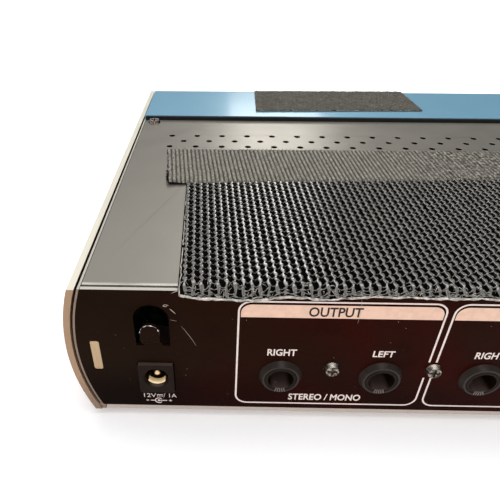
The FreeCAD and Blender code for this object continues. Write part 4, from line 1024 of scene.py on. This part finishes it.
def on_oval(angle, x_reach, z_reach):
    """A point at an angle on an oval, or a circle, from its middle, as (x, z)."""
    return Vector((x_reach * math.cos(angle), z_reach * math.sin(angle)))


def circle(radius, count):
    """Points round a circle, as (x, z) offsets."""
    return [on_oval(FULL_TURN * k / count, radius, radius) for k in range(count)]


def inlet_signs(centre, bar_x, bar_z):
    """The direct-current sign in the rating, and the polarity mark: minus, a dot in a ring, plus."""
    solid = Solid()
    dashes = [((-0.85, 0.25), (0.75, 0.25))]
    dashes += [((0.6 * k - 0.22, -0.3), (0.6 * k + 0.12, -0.3)) for k in (-1, 0, 1)]
    for ends in dashes:
        stroke(solid, [Vector((bar_x + a * MM, bar_z + b * MM)) for a, b in ends], 0.22 * MM)
    line = 0.26 * MM
    leads = (
        ((-3.4, 0), (-2.7, 0)),
        ((-2.2, 0), (-1.05, 0)),
        ((0.1, 0), (2.2, 0)),
        ((2.7, 0), (3.5, 0)),
        ((3.1, -0.4), (3.1, 0.4)),
    )
    for ends in leads:
        stroke(solid, [centre + Vector(end) * MM for end in ends], line)
    turns = [math.radians(40 + 280 * k / 18) for k in range(19)]
    stroke(solid, [centre + on_oval(turn, 0.95 * MM, 0.95 * MM) for turn in turns], line)
    dot = [centre + offset for offset in circle(0.36 * MM, 10)]
    solid.cap_band([Vector((p.x, REAR_FACE, p.y)) for p in dot], INK * OUT_REAR)
    return solid


def panel_marks():
    """Frames, headers, captions and the inlet's signs, placed from the sockets they belong to."""
    ink = silk_ink().material
    fill = silk_ink("header_fill", (0.84, 0.56, 0.425)).material
    black = silk_ink("header_ink", (0.012, 0.005, 0.003)).material
    out_right, out_left = middle("output_jack_right").x, middle("output_jack_left").x
    in_right, in_left = middle("input_jack_right").x, middle("input_jack_left").x
    pedal, data, control = middle("pedal_jack").x, middle("usb_socket").x, middle("control_socket").x
    lines, headers = Solid(), Solid()
    boxes = (
        ("output", out_right - 11.2 * MM, out_left + 11.0 * MM, False, True),
        ("input", in_right - 12.6 * MM, in_left + 11.0 * MM, True, True),
        ("control", pedal - 12.6 * MM, control + 11.2 * MM, True, False),
    )
    for name, left, right, open_left, open_right in boxes:
        port_box(lines, headers, left, right, open_left, open_right)
        size = (12.35 * MM * len(name) / 6, 2.95 * MM)
        place = ((left + right) / 2 - 1.5 * MM, JACK_LEVEL + 21.9 * MM)
        lettering(f"header_{name}", name.upper(), place, size, black, 0.02, 1.6 * INK)
    lines.piece("panel_frames", ink, "panel_paint", smooth=False)
    headers.piece("panel_headers", fill, "panel_paint", smooth=False)
    captions = (
        ("output_right", "RIGHT", out_right - 0.2 * MM, 8.45, 7.2, 2.3),
        ("output_left", "LEFT", out_left - 0.65 * MM, 8.45, 5.3, 2.1),
        ("input_right", "RIGHT", in_right - 0.2 * MM, 8.45, 7.2, 2.3),
        ("input_left", "LEFT", in_left - 0.65 * MM, 8.45, 5.3, 2.1),
        ("pedal", "PEDAL", pedal - 0.3 * MM, 8.45, 7.2, 2.3),
        ("data", "DATA", data, 8.45, 5.6, 2.2),
        ("in", "IN", control, 9.9, 2.7, 2.2),
        ("mode", "STEREO / MONO", (out_right + out_left) / 2 - 0.45 * MM, -8.15, 19.0, 2.45),
    )
    for name, text, x, above, wide, high in captions:
        lettering(f"caption_{name}", text, (x, JACK_LEVEL + above * MM), (wide * MM, high * MM), ink, 0.02)
    inlet = middle("power_inlet")
    rating = inlet.z - 7.4 * MM
    for name, text, aside, wide in (("volts", "12V", -2.3, 3.2), ("amps", "/ 1A", 3.0, 3.5)):
        place = (inlet.x + aside * MM, rating)
        lettering(f"caption_{name}", text, place, (wide * MM, 1.5 * MM), ink, -0.008)
    signs = inlet_signs(Vector((inlet.x - 0.05 * MM, rating - 2.05 * MM)), inlet.x + 0.35 * MM, rating)
    signs.piece("inlet_marks", ink, "panel_paint", smooth=False)


def panel_wear():
    """A scratch, a curl of torn film, a few specks and hairs on the rear panel."""
    chance = random.Random(5)
    face = REAR_FACE - 0.02 * MM
    marks = Solid()

    def hair(start, reach, bow, radius):
        path, sizes = [], []
        for k in range(9):
            point = start + reach * k / 8
            bulge = math.sin(math.pi * k / 8)
            path.append(Vector((point.x + bow * bulge, face, point.y)))
            sizes.append(radius * (0.35 + 0.65 * bulge))
        marks.tube(path, sizes, Y_AXIS, 4)

    inlet, jack = middle("power_inlet"), middle("output_jack_left")
    above_inlet = Vector((inlet.x, inlet.z + 18.0 * MM))
    curl = above_inlet + Vector((3.6, 6.3)) * MM
    hair(above_inlet + Vector((7.0, 0.0)) * MM, Vector((3.4, -6.4)) * MM, 0.15 * MM, 0.065 * MM)
    hair(above_inlet + Vector((4.4, 2.0)) * MM, Vector((1.6, -0.4)) * MM, 0.0, 0.06 * MM)
    hair(Vector((jack.x - 9.1 * MM, PLATE_TOP - 1.6 * MM)), Vector((0.3, -7.6)) * MM, 0.25 * MM, 0.06 * MM)
    low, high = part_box("end_frame_left")[0].z + 3 * MM, PLATE_TOP - 3 * MM
    left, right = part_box("top_plate")[0].x + 6 * MM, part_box("top_plate")[1].x - 6 * MM
    for _ in range(46):
        speck = Vector((chance.uniform(left, right), chance.uniform(low, high)))
        size = chance.uniform(0.05, 0.14) * MM
        reach = on_oval(chance.uniform(0, math.pi), size, size)
        hair(speck - reach, 2 * reach, 0.0, 0.6 * size)
    for size, start, sweep in ((0.52, 0.3, 4.9), (0.3, 2.6, 4.6)):
        path = []
        for k in range(11):
            reach = size * MM * (1 - 0.35 * k / 10)
            point = curl + on_oval(start + sweep * k / 10, 1.3 * reach, 0.7 * reach)
            path.append(Vector((point.x, face, point.y)))
        marks.tube(path, 0.1 * MM, Y_AXIS, 4)
    hair(curl + Vector((0.9, -0.8)) * MM, Vector((1.3, -1.6)) * MM, 0.0, 0.14 * MM)
    marks.piece("panel_scratches", silk_ink("bare_scratch", (0.42, 0.33, 0.27)).material, "panel_paint")


def jack_ribs():
    """Short moulded ribs at the foot of each jack's nose."""
    solid = Solid()
    for name in JACKS:
        hub = Vector((middle(name).x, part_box(name)[0].y - 0.03 * MM, JACK_LEVEL))
        for k in range(5):
            angle = math.radians(-90 + (k - 2) * 8.5)
            out = Vector((math.cos(angle), 0, math.sin(angle)))
            solid.tube([hub + out * 3.0 * MM, hub + out * 4.25 * MM], 0.15 * MM, Y_AXIS, 4)
    solid.piece("jack_ribs", silk_ink("rib_grey", (0.2, 0.165, 0.15)).material, "socket_black")


def inlet_sleeve():
    """The gold spring sleeve along the lower wall of the power inlet's bore."""
    sleeve, rings = Solid(), []
    centre, mouth = middle("power_inlet").x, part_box("power_inlet")[0].y
    wall, steps = 0.16 * MM, 14
    for depth, radius in ((0.5 * MM, 2.62 * MM), (1.0 * MM, 2.55 * MM), (2.0 * MM, 2.5 * MM)):
        outline = []
        for size, turns in ((radius, range(steps + 1)), (radius - wall, range(steps, -1, -1))):
            for k in turns:
                place = on_oval(math.radians(212 + 116 * k / steps), size, size)
                outline.append(Vector((centre + place.x, mouth + depth, INLET_LEVEL + place.y)))
        rings.append(sleeve.ring(outline))
    for first, second in zip(rings, rings[1:]):
        sleeve.skin(first, second)
    for ring, flip in ((rings[0], False), (rings[-1], True)):
        for i in range(steps):
            quad = (ring[i], ring[i + 1], ring[-2 - i], ring[-1 - i])
            sleeve.faces.append(quad if flip else quad[::-1])
    sleeve.piece("inlet_sleeve", sleeve_gold().material, "contact_gold")


def tab_rim():
    """Bare metal along the rounded top edge of the cable hook, both worn paint and a painted highlight on
    that edge.
    """
    points = [v.co for v in frame["nodes"]["rear_panel"].data.vertices if v.co.y < REAR_FACE - 2.6 * MM]
    left, right = min(p.x for p in points), max(p.x for p in points)
    top, face = max(p.z for p in points), min(p.y for p in points)
    radius = (right - left) / 2
    solid, path, sizes = Solid(), [], []
    for k in range(33):
        place = on_oval(math.radians(-6 + 200 * k / 32), radius - 0.08 * MM, radius - 0.04 * MM)
        path.append(Vector(((left + right) / 2 + place.x, face + 0.1 * MM, top - radius + place.y)))
        sizes.append(0.11 * MM * (1 + 0.7 * noise.noise(Vector((k / 3, 0, 4)))))
    solid.tube(path, sizes, Y_AXIS, 5)
    solid.piece("hook_tab_rim", finish_of("usb_shell").material, "panel_paint")


# ---------------- front of the unit


def knob_details():
    """A pointer and a printed scale for each knob that has stops, and a dot on the endless one."""
    white = silk_ink("pointer_white", (0.75, 0.75, 0.72)).material
    scales = Solid()
    for control in ("gain", "mix", "level", "select"):
        low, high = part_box(f"{control}_knob")
        radius = (high.x - low.x) / 2
        hub = Vector(((low.x + high.x) / 2, (low.z + high.z) / 2))
        if control == "select":
            name = "select_dot"
            outline = [offset + Vector((0, 0.7 * radius)) for offset in circle(1 * MM, 16)]
        else:
            name = f"{control}_pointer"
            side, near, far = 0.45 * MM, 0.28 * radius, 0.74 * radius
            corners = ((-side, near), (side, near), (side, far), (-side, far))
            outline = [Vector(corner) for corner in corners]
            for k in range(11):
                out = on_oval(math.radians(90 + 150 - 30 * k), 1, 1)
                reach = 1.9 * MM if k in (0, 5, 10) else 1.2 * MM
                ends = [hub + out * (radius + 1.6 * MM), hub + out * (radius + 1.6 * MM + reach)]
                stroke(scales, ends, 0.35 * MM, FRONT_FACE - 0.01 * MM, 0.05 * MM * Y_AXIS)
        points = [Vector((hub.x + p.x, high.y - 0.02 * MM, hub.y + p.y)) for p in outline]
        mark = Solid().cap_band(points, 0.12 * MM * Y_AXIS)
        mark.piece(name, white, "knob_black", f"{control}_control", smooth=False)
    scales.piece("knob_scales", white, "shell_blue", smooth=False)


# ---------------- studio and camera


def area_light(name, place, size, power, colour):
    """A rectangular soft light, turned to the unit's left half, that the camera doesn't see."""
    data = bpy.data.lights.new(name, "AREA")
    data.shape = "RECTANGLE"
    data.size, data.size_y = size
    data.energy = power
    data.color = colour
    light = added(name, data)
    light.location = place
    light.rotation_mode = "QUATERNION"
    target = Vector((-0.03, 0.0, 0.04))
    light.rotation_quaternion = (target - Vector(place)).to_track_quat("-Z", "Y")
    light.visible_camera = False


def shade_room(tree):
    """Pale room whose far wall is dimmer low down and to the right, where the top plate mirrors it."""
    room = Nodes(tree, "Generated")
    upward = room.band(room.coordinate("Z"), 0.3, 0.58, 0.08, 0.86)
    right = room.band(room.coordinate("X"), 0.12, 0.5, 1.0, 0.35)
    near = room.band(room.coordinate("Y"), 0.0, 0.4, 0.7, 0.0)
    background = tree.nodes["Background"]
    room.feed(background.inputs["Color"], (0.97, 0.98, 1.0))
    room.feed(background.inputs["Strength"], room.calc("MAXIMUM", room.both(upward, right), near))


def studio():
    """White paper floor, pale surroundings, a tall window behind and a warm low fill in front."""
    world = bpy.data.worlds.new("studio")
    bpy.context.scene.world = world
    world.use_nodes = True
    shade_room(world.node_tree)
    reach = 4.0
    corners = [(x * reach, y * reach, -0.05 * MM) for x, y in ((-1, -1), (1, -1), (1, 1), (-1, 1))]
    paper = bpy.data.meshes.new("paper_floor")
    paper.from_pydata(corners, [], [(0, 1, 2, 3)])
    paper.materials.append(floor_paper().material)
    added("paper_floor", paper)
    area_light("window", (0.065, 1.12, 0.78), (0.28, 0.76), 2.3, (1.0, 0.985, 0.95))
    area_light("ceiling", (0.1, 0.1, 1.6), (1.5, 1.5), 17.0, (1.0, 0.995, 0.985))
    area_light("warm_fill", (-0.25, -1.0, 0.5), (0.9, 0.5), 1.0, (1.0, 0.75, 0.6))
    bpy.context.scene.view_settings.view_transform = "Standard"


def camera():
    """The viewer stands behind the unit's left half and looks down on the rear edge."""
    pitch, yaw, roll = math.radians(34.887), math.radians(-1.082), math.radians(-0.171)
    forward = Vector((math.sin(yaw) * math.cos(pitch), math.cos(yaw) * math.cos(pitch), -math.sin(pitch)))
    level = Vector((math.cos(yaw), -math.sin(yaw), 0))
    down = forward.cross(level)
    right = level * math.cos(roll) + down * math.sin(roll)
    up = level * math.sin(roll) - down * math.cos(roll)
    data = bpy.data.cameras.new("camera")
    data.sensor_width = 36.0
    data.lens = 34.955
    data.shift_x = 0.068
    data.clip_start, data.clip_end = 0.01, 20.0
    viewer = added("camera", data)
    place = Vector((-69.715, -163.18, 114.24)) * MM
    turn = Matrix((right, up, -forward)).transposed().to_4x4()
    viewer.matrix_world = Matrix.Translation(place) @ turn
    bpy.context.scene.camera = viewer


camera()
studio()
dress_nodes()
hook_tape()
loop_strip()
loop_patch()
panel_marks()
panel_wear()
jack_ribs()
inlet_sleeve()
tab_rim()
knob_details()
